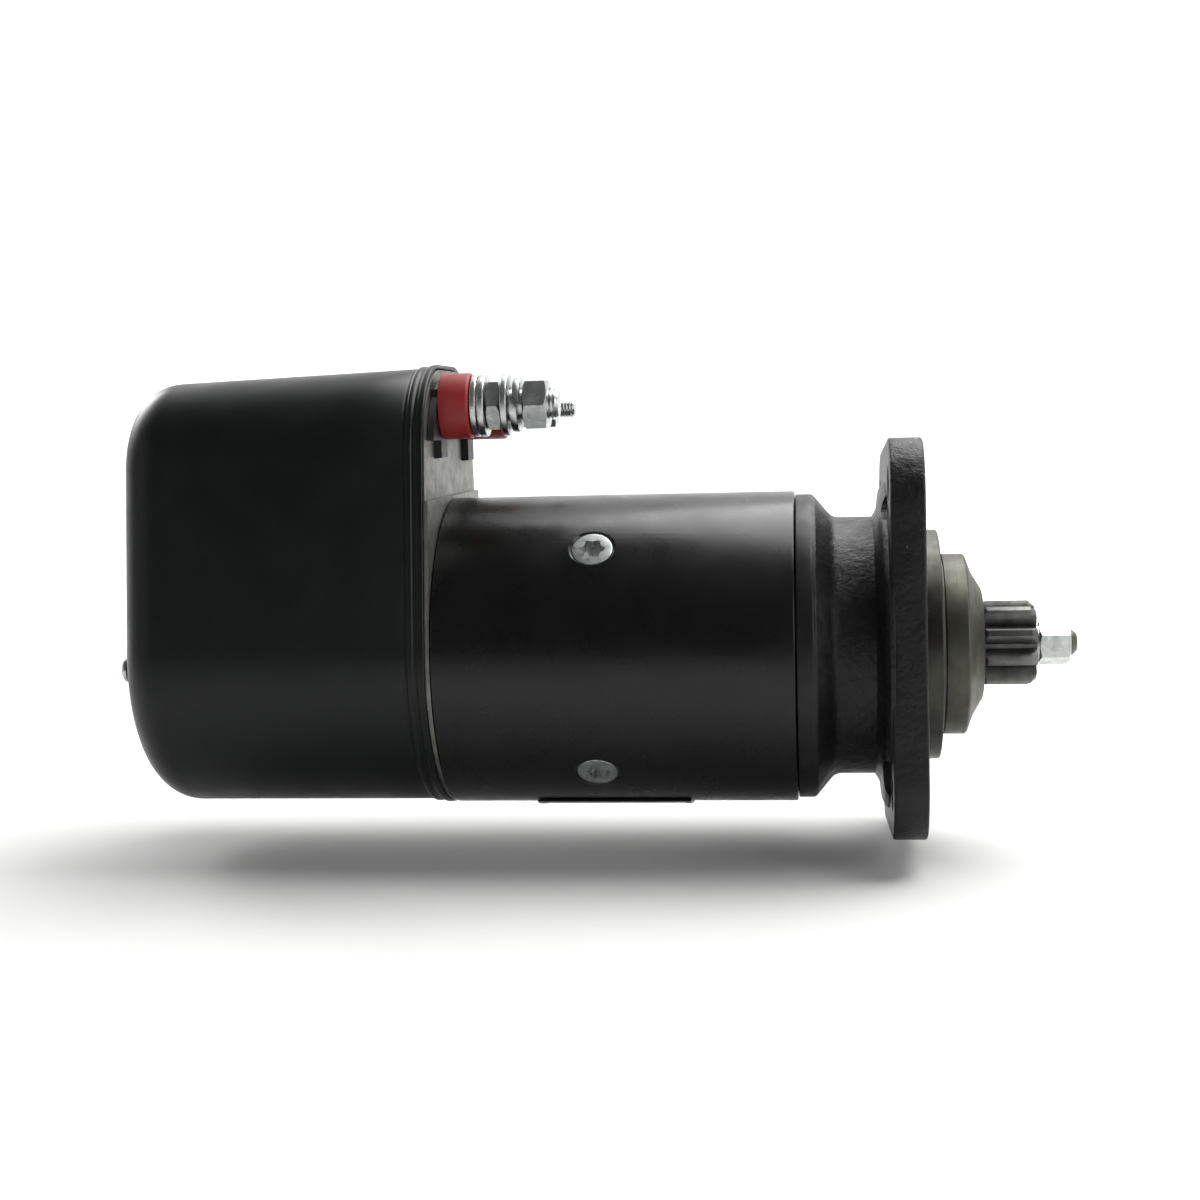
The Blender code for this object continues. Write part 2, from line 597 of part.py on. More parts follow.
def armature():
    """Hollow shaft with the clutch drum on its front end, slotted core, winding and commutator."""
    shaft = [(DRUM_FRONT, 42.0), (DRUM_REAR, 42.0), (DRUM_REAR, SHAFT_R), (-178.5, SHAFT_R), (-178.5, 9.0),
             (-198.0, 9.0)]
    hollow = [(DRUM_FRONT, 39.2), (DRUM_REAR + 3.5, 39.2), (DRUM_REAR + 3.5, SHAFT_BORE_R),
              (-198.0, SHAFT_BORE_R)]
    turned("armature_shaft", shaft, hollow, GEAR_STEEL, steps=INNER_STEPS)
    core_rear, core_front = POLE_X - POLE_HALF, POLE_X + POLE_HALF
    slots = toothed(CORE_SLOTS, CORE_R - 9.0, CORE_R, 0.45, 0.78, 1)
    extruded("armature_core", [slots, circle(SHAFT_R + GAP, INNER_STEPS)], core_rear, core_front, IRON)
    bore = SHAFT_R + GAP
    winding = ring("armature_winding", -157.8, core_rear - GAP, bore, 34.5, COPPER, steps=INNER_STEPS)
    front = ring("winding_front", core_front + GAP, -89.0, bore, 34.5, None, steps=INNER_STEPS,
                 collection=cutters)
    fuse(winding, front)
    bars = []
    for slot in range(CORE_SLOTS):
        turn = math.tau * (slot + 0.5) / CORE_SLOTS
        corners = ((28.0, -1.1), (34.0, -1.1), (34.0, 1.1), (28.0, 1.1))
        bars.append([(r * math.cos(turn) - w * math.sin(turn), r * math.sin(turn) + w * math.cos(turn))
                     for r, w in corners])
    fuse(winding, extruded("winding_bars", bars, core_rear - 2.0, core_front + 2.0, None, collection=cutters))
    bars = [(-158.2, 26.0), (-160.5, 26.0), (-160.5, COMMUTATOR_R), (-176.0, COMMUTATOR_R)]
    turned("commutator", bars, [(-158.2, bore), (-176.0, bore)], COPPER, steps=INNER_STEPS)


def brush_plate():
    """Ring with four brush boxes, each open towards the commutator."""
    made = ring("brush_plate", -179.0, -176.6, 25.0, 47.0, BLACK_PLASTIC, steps=AXIS_STEPS)
    wall = 1.6
    for angle in BRUSH_ANGLES:
        place = about_x(angle)
        half = BRUSH_HALF + GAP + wall
        front = BRUSH_FRONT + GAP + wall
        fuse(made, box_cutter("brush_box", (-178.0, 26.0, -half), (front, 47.0, half), place))
    for angle in BRUSH_ANGLES:
        place = about_x(angle)
        half = BRUSH_HALF + GAP
        low, high = (BRUSH_REAR - GAP, 20.0, -half), (BRUSH_FRONT + GAP, 45.6, half)
        cut(made, box_cutter("brush_pocket", low, high, place))


def brush(number, angle):
    low = (BRUSH_REAR, BRUSH_FOOT, -BRUSH_HALF)
    high = (BRUSH_FRONT, BRUSH_TOP, BRUSH_HALF)
    box(f"brush_{number}", low, high, CARBON, about_x(angle))


# ---------------------------------------------------------------- clutch and drive

def clutch():
    """Plates that grip between the drum and the hub; the hub overruns when the engine drives it."""
    ring("clutch_outer_plate", -73.0, -70.0, 21.5, 38.8, IRON, steps=INNER_STEPS)
    ring("clutch_inner_plate", -69.0, -66.0, 20.4, 37.5, BRONZE, steps=INNER_STEPS)
    bore = toothed(SPLINES, 14.6, 16.4, 0.62, 0.52, 1)
    hub = extruded("clutch_hub", [circle(20.0, INNER_STEPS), bore], -83.0, -46.0, GEAR_STEEL)
    flange = turned("hub_flange", [(-56.0, 30.0), (-59.0, 30.0)], [(-56.0, 18.5), (-59.0, 18.5)],
                    None, steps=INNER_STEPS, collection=cutters)
    fuse(hub, flange)


def drive():
    """Spindle, pinion, engaging rod and nut, which slide forward together."""
    splined = toothed(SPLINES, SPINDLE_R, 15.9, 0.50, 0.42, 1)
    body = [(24.2, SPINDLE_R), (-50.0, SPINDLE_R)]
    stub_front = PINION_FRONT - 0.4
    outer = [(stub_front, 8.5), (24.2, 8.5)] + body
    bore = ROD_R + GAP
    inner = [(stub_front, bore), (-50.0, bore)]
    spindle = turned("drive_spindle", outer, inner, GEAR_STEEL, steps=INNER_STEPS)
    tail = extruded("spindle_splines", [splined, circle(bore, INNER_STEPS)], -82.0, -49.0, None,
                    collection=cutters)
    fuse(spindle, tail)
    teeth = toothed(PINION_TEETH, PINION_ROOT_R, PINION_TIP_R, 0.74, 0.22, 3)
    extruded("pinion", [teeth, circle(8.8, SMALL_STEPS)], PINION_REAR, PINION_FRONT, GEAR_STEEL)
    thread = 5.0
    tip = 60.0
    rod = [(tip, 1.6), (tip - 0.7, 3.3), (tip - 2.0, 4.6), (tip - 3.4, thread), (PINION_FRONT, thread),
           (PINION_FRONT, ROD_R), (-238.2, ROD_R)]
    turned("engaging_rod", rod, None, GEAR_STEEL, steps=SMALL_STEPS)
    nut = hex_nut("pinion_nut", 45.4, 57.2, PINION_NUT_AF, thread + GAP, Matrix(), 34.5)
    fuse(nut, ring("nut_collar", PINION_FRONT + GAP, 46.6, thread + GAP, 6.8, None, collection=cutters))


# ---------------------------------------------------------------- solenoid, relay and contacts

def solenoid():
    front, rear = -200.4, -272.0
    cup = [(front, SOLENOID_R), (rear, SOLENOID_R)]
    hollow = [(front, SOLENOID_R - 2.3), (rear + 3, SOLENOID_R - 2.3), (rear + 3, 4.0), (rear, 4.0)]
    turned("solenoid_cup", cup, hollow, IRON, steps=INNER_STEPS)
    bore = PLUNGER_R + 1.2
    ring("solenoid_pole_plate", -208.0, front - GAP, bore, SOLENOID_R - 2.6, IRON, steps=INNER_STEPS)
    ring("solenoid_coil", -268.0, -208.5, bore, SOLENOID_R - 3.0, COPPER, steps=INNER_STEPS)
    nose = [(-226.5, PLUNGER_R), (-266.0, PLUNGER_R)]
    socket = [(-226.5, 9.5), (-238.5, 9.5), (-238.5, 2.0), (-266.0, 2.0)]
    turned("solenoid_plunger", nose, socket, IRON, steps=INNER_STEPS)
    coil("plunger_spring", SPRING_STEEL, -238.2, -200.6, 7.0, 0.8, 5)


def control_relay():
    place = at(y=RELAY_Y, z=RELAY_Z)
    rear, front = -236.0, FRAME_REAR - 1.0
    can = [(front, RELAY_R), (rear, RELAY_R)]
    hollow = [(front, 3.0), (front - 3, 3.0), (front - 3, RELAY_R - 2.2), (rear, RELAY_R - 2.2)]
    turned("control_relay_frame", can, hollow, IRON, place, INNER_STEPS)
    ring("control_relay_coil", rear + 3, front - 3.4, 7.6, RELAY_R - 2.6, COPPER, place, INNER_STEPS)
    button = [(-205.0, 6.8), (-239.5, 6.8), (-239.5, 18.4), (-242.0, 18.4)]
    turned("control_relay_armature", button, None, IRON, place, INNER_STEPS)


def contact_bridge():
    """Copper bar on a guide pin, carried forward onto the battery stud's head and the motor lead."""
    bridge = box("contact_bridge", (BRIDGE_REAR, -31.0, 90.0), (BRIDGE_FRONT, 9.0, 101.0), COPPER)
    fuse(bridge, round_cutter("bridge_pin", BRIDGE_FRONT - 1.0, -190.0, 3.0, at(y=PIN_Y, z=TERMINAL_Z), 16))


def motor_lead():
    """Copper bar from its contact pad down to the brush plate."""
    lead = box("motor_lead", (CONTACT_REAR, -8.0, 88.0), (CONTACT_FRONT, 8.0, 102.5), COPPER)
    fuse(lead, box_cutter("lead_upright", (CONTACT_REAR + 0.3, -6.0, 44.5), (CONTACT_FRONT - 0.3, 2.0, 89.0)))
    fuse(lead, box_cutter("lead_foot", (CONTACT_REAR + 0.5, -6.0, 44.5), (-179.4, 2.0, 47.5)))


# ---------------------------------------------------------------- the whole motor

def shade_round_pieces():
    for piece in parts.objects:
        piece.data.shade_smooth()
        piece.data.set_sharp_from_angle(angle=math.radians(35))


rear_cap()
rear_cap_screws()
commutator_end_frame()
rear_bearing_bush()
terminal_block()
battery_terminal()
control_terminal()
pole_housing()
pole_screws()
for index, pole_angle in enumerate(POLE_ANGLES, 1):
    pole_shoe(index, pole_angle)
field_coils()
rating_plate()
through_bolts()
drive_end_housing()
bearing_cover()
front_bearing()
shaft_seal()
armature()
brush_plate()
for index, brush_angle in enumerate(BRUSH_ANGLES, 1):
    brush(index, brush_angle)
clutch()
drive()
solenoid()
control_relay()
contact_bridge()
motor_lead()
shade_round_pieces()
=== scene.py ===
import json
import math

import bmesh
import bpy
from mathutils import Matrix, Vector


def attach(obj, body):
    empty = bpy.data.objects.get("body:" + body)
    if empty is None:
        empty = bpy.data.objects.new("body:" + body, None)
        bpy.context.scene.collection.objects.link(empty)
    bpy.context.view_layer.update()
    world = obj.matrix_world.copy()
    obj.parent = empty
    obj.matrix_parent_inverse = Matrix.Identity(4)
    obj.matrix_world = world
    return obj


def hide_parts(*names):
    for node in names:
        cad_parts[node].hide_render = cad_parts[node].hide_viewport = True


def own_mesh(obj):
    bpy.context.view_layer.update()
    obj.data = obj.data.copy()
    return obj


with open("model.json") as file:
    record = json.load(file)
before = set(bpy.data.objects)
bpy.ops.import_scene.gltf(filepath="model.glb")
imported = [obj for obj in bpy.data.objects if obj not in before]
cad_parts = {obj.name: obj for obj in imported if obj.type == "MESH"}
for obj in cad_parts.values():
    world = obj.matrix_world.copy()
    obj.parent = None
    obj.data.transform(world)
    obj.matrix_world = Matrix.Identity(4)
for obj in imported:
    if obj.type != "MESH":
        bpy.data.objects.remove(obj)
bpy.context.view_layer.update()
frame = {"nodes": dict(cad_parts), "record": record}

MM = 0.001
ROUND = 128                     # facets around the large turned pieces
SMALL = 64                      # facets around fasteners
TINY = 24                       # facets around the through bolts' holes
GAP = 0.3                       # clearance between neighbouring pieces
RUN_IN, RUN_OUT = -170.0, -210.0        # where tools that cut through the end frame start and stop

# Driving dimensions, the same as the solids they stand for
HOUSING_R = 60.5
HOUSING_REAR, HOUSING_FRONT = -181.5, -47.4
YOKE_WALL = 6.0
POLE_X = -122.3
POLE_ANGLES = (45, 135, 225, 315)
PLATE_REAR, PLATE_FRONT, PLATE_HALF_ANGLE = -148.5, -88.5, 21
FLANGE_BACK = -12.7
FLANGE_LOW, FLANGE_HIGH = (-60.0, -71.5), (60.0, 77.5)
FLANGE_CORNER = 24.0
FLANGE_CLOCK = -5.5
BOLT_HOLE_R = 6.75
BOLT_HOLES = ((-41.0, 59.5), (41.0, 59.5), (-41.0, -53.5), (41.0, -53.5))
PILOT_R, PILOT_FRONT = 44.5, 7.0
NECK_R, COLLAR_R, NOSE_R = 50.0, 59.2, 35.0
BEARING_BORE_R = 19.4
ARCH_R, ARCH_TOP, ARCH_CORNER = 59.5, 111.6, 36.0
ARCH_LEAN = math.radians(6.8)
CAP_FRONT, CAP_REAR, CAP_FILLET, CAP_WALL = -183.6, -302.8, 17.0, 1.5
CAP_TAPER = math.tan(math.radians(2.0))
CAP_CROWN_Z = 20.0              # height of the middle of the cap's crowned rear face
CAP_SCREW_Y, CAP_SCREW_Z = 38.0, -2.0
CAP_SCREW_SEAT = CAP_REAR - 1.6
FRAME_REAR, FRAME_UPPER_FACE, FRAME_LOWER_FACE = -194.0, -183.2, -181.8
FRAME_STEP_Z = 65.4             # the frame's face is deeper above this height
BUSH_BORE_R = 12.9
BOLT_Y = 50.6                   # the two through bolts
BOLT_SEAT_R = 3.4
TERMINAL_Z, BATTERY_Y, PIN_Y = 96.5, -25.0, -12.5
CONTROL_Y, CONTROL_Z = 25.0, 94.9
BATTERY_STUD_R, CONTROL_STUD_R, PIN_R = 6.0, 4.0, 3.1
BATTERY_TIP, CONTROL_TIP = -135.5, -135.7
BATTERY_NUT_AF, CONTROL_NUT_AF, PINION_NUT_AF = 18.0, 13.0, 15.0
INSULATOR_REAR, BATTERY_INSULATOR_FRONT, CONTROL_INSULATOR_FRONT = -180.1, -168.6, -163.9
BATTERY_INSULATOR_R, CONTROL_INSULATOR_R = 12.5, 11.7
WASHER_R, SPRING_WASHER_R = 11.8, 10.4
SPLIT_ANGLE, SPLIT_HALF_GAP = math.radians(172), math.radians(9)
SPLIT_SLANT = 0.13              # radians of turn per millimetre across a spring washer's cut
BLOCK_LEGS = ((-30.0, -18.5, 77.1), (25.3, 37.5, 74.9))     # both sides and the foot of each leg
BLOCK_FRONT, BLOCK_REAR = -180.4, -204.0
SPINDLE_R, ROD_R = 14.0, 4.2
PINION_TEETH, PINION_TIP_R, PINION_ROOT_R = 9, 16.5, 10.4
PINION_REAR, PINION_FRONT = 24.5, 44.0
PINION_BORE_R = 8.8
SPLINE_TIP_R = 15.9
ROD_THREAD_R, ROD_TIP, ROD_REAR = 4.9, 60.0, -238.2


# ---------------------------------------------------------------- materials

class Finish:
    """A procedural material under construction: a Principled shader and the nodes that feed it."""

    def __init__(self, name, metallic=0.0):
        self.material = bpy.data.materials.new(name)
        self.material.use_nodes = True
        self.tree = self.material.node_tree
        self.shader = self.tree.nodes["Principled BSDF"]
        self.shader.inputs["Metallic"].default_value = metallic
        self.place = self.tree.nodes.new("ShaderNodeTexCoord").outputs["Object"]

    def node(self, kind, **values):
        made = self.tree.nodes.new(kind)
        for key, value in values.items():
            setattr(made, key, value)
        return made

    def link(self, source, target):
        self.tree.links.new(source, target)

    def noise(self, size, detail=3.0, rough=0.55, place=None):
        """Noise whose features are about size millimetres across."""
        made = self.node("ShaderNodeTexNoise")
        made.inputs["Scale"].default_value = 1.0 / (size * MM)
        made.inputs["Detail"].default_value = detail
        made.inputs["Roughness"].default_value = rough
        self.link(place or self.place, made.inputs["Vector"])
        return made.outputs["Fac"]

    def spread(self, value, low, high, to_low=0.0, to_high=1.0):
        """Maps low..high to to_low..to_high, clamped."""
        made = self.node("ShaderNodeMapRange")
        self.link(value, made.inputs["Value"])
        for key, number in zip(("From Min", "From Max", "To Min", "To Max"), (low, high, to_low, to_high)):
            made.inputs[key].default_value = number
        return made.outputs["Result"]

    def maths(self, operation, a, b):
        made = self.node("ShaderNodeMath", operation=operation)
        for socket, value in zip(made.inputs, (a, b)):
            if isinstance(value, (int, float)):
                socket.default_value = value
            else:
                self.link(value, socket)
        return made.outputs["Value"]

    def blend(self, share, a, b):
        """Colour a where share is 0, b where it is 1; each is a colour or a socket."""
        made = self.node("ShaderNodeMix", data_type="RGBA")
        self.link(share, made.inputs["Factor"])
        for socket, value in ((made.inputs[6], a), (made.inputs[7], b)):
            if isinstance(value, tuple):
                socket.default_value = (*value, 1.0)
            else:
                self.link(value, socket)
        return made.outputs[2]

    def around_axis(self, along, around):
        """Coordinates that only vary along X and with the distance from the motor axis: turning marks."""
        parts = self.node("ShaderNodeSeparateXYZ")
        self.link(self.place, parts.inputs["Vector"])
        square = self.maths("ADD", self.maths("MULTIPLY", parts.outputs["Y"], parts.outputs["Y"]),
                            self.maths("MULTIPLY", parts.outputs["Z"], parts.outputs["Z"]))
        made = self.node("ShaderNodeCombineXYZ")
        self.link(self.maths("MULTIPLY", parts.outputs["X"], along), made.inputs["X"])
        self.link(self.maths("MULTIPLY", self.maths("SQRT", square, 0.0), around), made.inputs["Y"])
        return made.outputs["Vector"]

    def bump(self, heights):
        """Bump from (height socket, distance in millimetres) pairs, one after the other."""
        normal = None
        for height, distance in heights:
            made = self.node("ShaderNodeBump")
            made.inputs["Distance"].default_value = distance * MM
            self.link(height, made.inputs["Height"])
            if normal:
                self.link(normal, made.inputs["Normal"])
            normal = made.outputs["Normal"]
        self.link(normal, self.shader.inputs["Normal"])

    def colour(self, socket):
        self.link(socket, self.shader.inputs["Base Color"])

    def roughness(self, socket):
        self.link(socket, self.shader.inputs["Roughness"])


def paint(name, colour, dust, roughness, peel_size, peel, gloss):
    """Sprayed black paint: orange peel, faint dust and a roughness that varies."""
    made = Finish(name)
    made.shader.inputs["Specular IOR Level"].default_value = gloss
    cloud = made.noise(45.0, 4.0)
    speck = made.noise(1.6, 2.0)
    tone = made.blend(made.spread(cloud, 0.35, 0.7), colour, dust)
    made.colour(made.blend(made.spread(speck, 0.66, 0.74, 0.0, 0.35), tone, tuple(c * 2.6 for c in dust)))
    made.roughness(made.spread(made.noise(18.0, 5.0), 0.3, 0.7, roughness - 0.05, roughness + 0.07))
    made.bump([(made.noise(peel_size, 2.0), peel), (made.noise(60.0, 2.0), 0.015)])
    return made.material


def cast_paint():
    """Black paint over a sand casting, smooth on the machined collar and chipped at the flange's edges."""
    made = Finish("cast_paint")
    made.shader.inputs["Specular IOR Level"].default_value = 0.30
    parts = made.node("ShaderNodeSeparateXYZ")
    made.link(made.place, parts.inputs["Vector"])
    past_collar = made.spread(parts.outputs["X"], -0.0405, -0.0395)
    grain = made.maths("MULTIPLY", made.noise(2.3, 4.0, 0.65), past_collar)
    lumps = made.maths("MULTIPLY", made.noise(9.0, 3.0), past_collar)
    tone = made.blend(made.spread(made.noise(14.0, 4.0), 0.35, 0.65), (0.003, 0.0034, 0.003),
                      (0.008, 0.0088, 0.008))
    corner = made.spread(parts.outputs["Z"], 0.055, 0.078, 0.0, 0.085)
    chip = made.spread(made.maths("ADD", made.noise(3.6, 5.0, 0.7), corner), 0.70, 0.72)
    flange = made.spread(parts.outputs["X"], -0.0135, -0.0125)
    chip = made.maths("MULTIPLY", chip, flange)
    machined = made.spread(parts.outputs["X"], -0.0001, -0.00005)
    rough_cast = made.maths("SUBTRACT", 1.0, machined)
    bare = made.blend(made.spread(made.noise(14.0, 5.0), 0.4, 0.66), (0.055, 0.055, 0.047),
                      (0.036, 0.034, 0.029))
    made.colour(made.blend(machined, made.blend(chip, tone, (0.30, 0.27, 0.24)), bare))
    made.link(machined, made.shader.inputs["Metallic"])
    made.roughness(made.spread(made.noise(5.0, 5.0), 0.3, 0.7, 0.34, 0.50))
    marks = made.maths("MULTIPLY", made.noise(0.9, 2.0, 0.5, made.around_axis(1.0, 1.0)), machined)
    made.bump([(made.maths("MULTIPLY", lumps, rough_cast), 0.7),
               (made.maths("MULTIPLY", grain, rough_cast), 0.45),
               (made.maths("MULTIPLY", chip, -1.0), 0.15), (marks, 0.04)])
    return made.material


def metal(name, colour, stain, roughness, turned=0.0, grain_size=0.8, grain=0.02, stain_size=12.0):
    """Bare or plated metal with stains, fine grain, and turning marks where turned is above 0."""
    made = Finish(name, metallic=1.0)
    made.colour(made.blend(made.spread(made.noise(stain_size, 5.0), 0.38, 0.68), colour, stain))
    heights = [(made.noise(grain_size, 3.0), grain)]
    rub = made.noise(stain_size * 0.5, 5.0)
    if turned:
        marks = made.noise(0.9, 2.0, 0.5, made.around_axis(1.0, 1.0))
        heights.append((marks, turned))
        rub = made.maths("ADD", made.maths("MULTIPLY", rub, 0.5), made.maths("MULTIPLY", marks, 0.5))
    made.roughness(made.spread(rub, 0.3, 0.7, roughness - 0.07, roughness + 0.10))
    made.bump(heights)
    return made.material


def moulded(name, colour, worn, roughness, grain_size=0.5, grain=0.03):
    """Moulded plastic or rubber with a fine texture and dusty patches."""
    made = Finish(name)
    made.colour(made.blend(made.spread(made.noise(6.0, 5.0), 0.42, 0.72), colour, worn))
    made.roughness(made.spread(made.noise(3.0, 4.0), 0.3, 0.7, roughness - 0.06, roughness + 0.1))
    made.bump([(made.noise(grain_size, 3.0), grain)])
    return made.material


def windings():
    """Varnished copper with the wires showing as fine ridges around the axis."""
    made = Finish("copper", metallic=0.85)
    wires = made.noise(1.3, 1.0, 0.4, made.around_axis(1.0, 1.6))
    made.colour(made.blend(made.spread(made.noise(8.0, 4.0), 0.35, 0.7), (0.42, 0.15, 0.07),
                           (0.20, 0.07, 0.035)))
    made.roughness(made.spread(made.noise(4.0, 4.0), 0.3, 0.7, 0.28, 0.42))
    made.bump([(wires, 0.25), (made.noise(0.6, 2.0), 0.03)])
    return made.material


MATERIALS = {
    "cap_paint": paint("cap_paint", (0.004, 0.0055, 0.005), (0.006, 0.008, 0.007), roughness=0.36,
                       peel_size=1.3, peel=0.020, gloss=0.24),
    "housing_paint": paint("housing_paint", (0.002, 0.0026, 0.0022), (0.0035, 0.0044, 0.0036),
                           roughness=0.28, peel_size=1.8, peel=0.012, gloss=0.34),
    "blank_plate": paint("blank_plate", (0.006, 0.006, 0.006), (0.009, 0.009, 0.009), roughness=0.30,
                         peel_size=3.0, peel=0.008, gloss=0.34),
    "cast_paint": cast_paint(),
    "cast_aluminium": metal("cast_aluminium", (0.215, 0.215, 0.20), (0.155, 0.155, 0.14), 0.50,
                            grain_size=0.7, grain=0.06, stain_size=7.0),
    "turned_steel": metal("turned_steel", (0.098, 0.097, 0.081), (0.060, 0.058, 0.047), 0.50,
                          turned=0.05, grain_size=0.9, grain=0.012, stain_size=16.0),
    "gear_steel": metal("gear_steel", (0.17, 0.17, 0.16), (0.10, 0.10, 0.092), 0.50,
                        turned=0.02, grain_size=0.7, grain=0.015, stain_size=7.0),
    "zinc": metal("zinc", (0.56, 0.58, 0.57), (0.36, 0.38, 0.37), 0.30,
                  grain_size=0.9, grain=0.012, stain_size=5.0),
    "iron": metal("iron", (0.14, 0.14, 0.15), (0.08, 0.075, 0.07), 0.45,
                  turned=0.02, grain=0.03, stain_size=9.0),
    "bronze": metal("bronze", (0.50, 0.33, 0.16), (0.33, 0.21, 0.11), 0.38,
                    turned=0.02, grain_size=0.5, stain_size=6.0),
    "spring_steel": metal("spring_steel", (0.42, 0.42, 0.42), (0.30, 0.29, 0.28), 0.30,
                          grain_size=0.5, grain=0.01, stain_size=4.0),
    "copper": windings(),
    "red_plastic": moulded("red_plastic", (0.25, 0.010, 0.011), (0.30, 0.028, 0.025), 0.52),
    "black_plastic": moulded("black_plastic", (0.003, 0.0035, 0.0035), (0.008, 0.008, 0.008), 0.50),
    "carbon": moulded("carbon", (0.040, 0.040, 0.044), (0.065, 0.063, 0.062), 0.50,
                      grain_size=0.3, grain=0.04),
    "seal_rubber": moulded("seal_rubber", (0.014, 0.014, 0.014), (0.024, 0.024, 0.023), 0.58,
                           grain_size=0.4),
}


# ---------------------------------------------------------------- mesh helpers

def place_at(x=0.0, y=0.0, z=0.0):
    return Matrix.Translation(Vector((x, y, z)) * MM)


def about_x(degrees):
    return Matrix.Rotation(math.radians(degrees), 4, "X")


def radial(degrees, x):
    """A frame whose X axis points outwards along a radius at the given angle."""
    return place_at(x=x) @ about_x(degrees) @ Matrix.Rotation(math.radians(90), 4, "Z")


def arc(centre, radius, start, end, segments):
    steps = [start + (end - start) * i / segments for i in range(segments + 1)]
    return [(centre[0] + radius * math.cos(a), centre[1] + radius * math.sin(a)) for a in steps]


def circle(radius, segments, centre=(0.0, 0.0)):
    return arc(centre, radius, 0.0, math.tau * (segments - 1) / segments, segments - 1)


def hexagon(across_flats, turn):
    return [(across_flats / math.sqrt(3) * math.cos(a), across_flats / math.sqrt(3) * math.sin(a))
            for a in (math.radians(turn + 60 * i) for i in range(6))]


def rounded_rectangle(low, high, radius, segments=16):
    corners = ((high[0] - radius, high[1] - radius, 0), (low[0] + radius, high[1] - radius, 90),
               (low[0] + radius, low[1] + radius, 180), (high[0] - radius, low[1] + radius, 270))
    points = []
    for y, z, start in corners:
        points += arc((y, z), radius, math.radians(start), math.radians(start + 90), segments)
    return points


def arch(inset=0.0, drop=0.0):
    """The closed outline of the rear cap: a round foot, leaning sides and a flat top with round corners."""
    top = ARCH_TOP - drop
    corner_z = top - ARCH_CORNER
    corner_y = (ARCH_R - ARCH_CORNER - corner_z * math.sin(ARCH_LEAN)) / math.cos(ARCH_LEAN)
    foot = arc((0.0, 0.0), ARCH_R - inset, math.radians(-90), ARCH_LEAN, 40)
    corner = arc((corner_y, corner_z), ARCH_CORNER - inset, ARCH_LEAN, math.radians(90), 25)
    side = [tuple(a + (b - a) * share for a, b in zip(foot[-1], corner[0]))
            for share in (0.25, 0.5, 0.75)]
    crown = [(corner[-1][0] * share, corner[-1][1]) for share in (0.66, 0.33)]
    right = foot + side + corner + crown
    return right + [(0.0, top - inset)] + [(-y, z) for y, z in reversed(right[1:])]


def softened(points, radius, closed, steps=3):
    """Rounds each corner of a profile by radius, or by less where an edge is short."""
    count = len(points)
    made = []
    for i, point in enumerate(points):
        at_end = not closed and i in (0, count - 1)
        here = Vector(point[:2])
        before = Vector(points[i - 1][:2]) - here
        after = Vector(points[(i + 1) % count][:2]) - here
        wanted = point[2] if len(point) > 2 else radius
        reach = min(wanted, before.length * 0.45, after.length * 0.45)
        if at_end or reach < 0.01:
            made.append(tuple(here))
            continue
        start, end = here + before.normalized() * reach, here + after.normalized() * reach
        for step in range(steps + 1):
            t = step / steps
            made.append(tuple(start * (1 - t) ** 2 + here * 2 * t * (1 - t) + end * t ** 2))
    return made


def skin(work, loops, ends=(0, -1)):
    """Faces between neighbouring loops that all have the same count, and over the ends that are named."""
    for a, b in zip(loops, loops[1:]):
        for i in range(len(a)):
            j = (i + 1) % len(a)
            work.faces.new((a[i], a[j], b[j], b[i]))
    for end in ends:
        work.faces.new(loops[end])


def add_mesh(name, work, place=None):
    """Turns a bmesh in millimetres into an object, with outward normals and smooth shading."""
    bmesh.ops.remove_doubles(work, verts=work.verts, dist=0.0005)
    bmesh.ops.recalc_face_normals(work, faces=work.faces)
    bmesh.ops.scale(work, vec=(MM, MM, MM), verts=work.verts)
    mesh = bpy.data.meshes.new(name)
    work.to_mesh(mesh)
    work.free()
    if place:
        mesh.transform(place)
    made = bpy.data.objects.new(name, mesh)
    bpy.context.scene.collection.objects.link(made)
    return made


def lathe(name, profile, place=None, steps=ROUND, soft=0.35, closed=True):
    """Turns a profile of (x, radius) points about X. An open profile starts and ends on the axis."""
    points = softened(profile, soft, closed)
    work = bmesh.new()
    rings = []
    for x, radius in points:
        if radius < 0.001:
            rings.append([work.verts.new((x, 0.0, 0.0))])
            continue
        rings.append([work.verts.new((x, radius * math.cos(math.tau * i / steps),
                                      radius * math.sin(math.tau * i / steps))) for i in range(steps)])
    pairs = list(zip(rings, rings[1:]))
    if closed:
        pairs.append((rings[-1], rings[0]))
    for a, b in pairs:
        for i in range(steps):
            j = (i + 1) % steps
            corners = (a[i % len(a)], a[j % len(a)], b[j % len(b)], b[i % len(b)])
            face = list(dict.fromkeys(corners))
            if len(face) > 2:
                work.faces.new(face)
    return add_mesh(name, work, place)


def solid_lathe(name, profile, place=None, steps=ROUND, soft=0.35):
    """A solid turned piece: the profile is closed along the axis."""
    whole = [(profile[0][0], 0.0)] + list(profile) + [(profile[-1][0], 0.0)]
    return lathe(name, whole, place, steps, soft, closed=False)


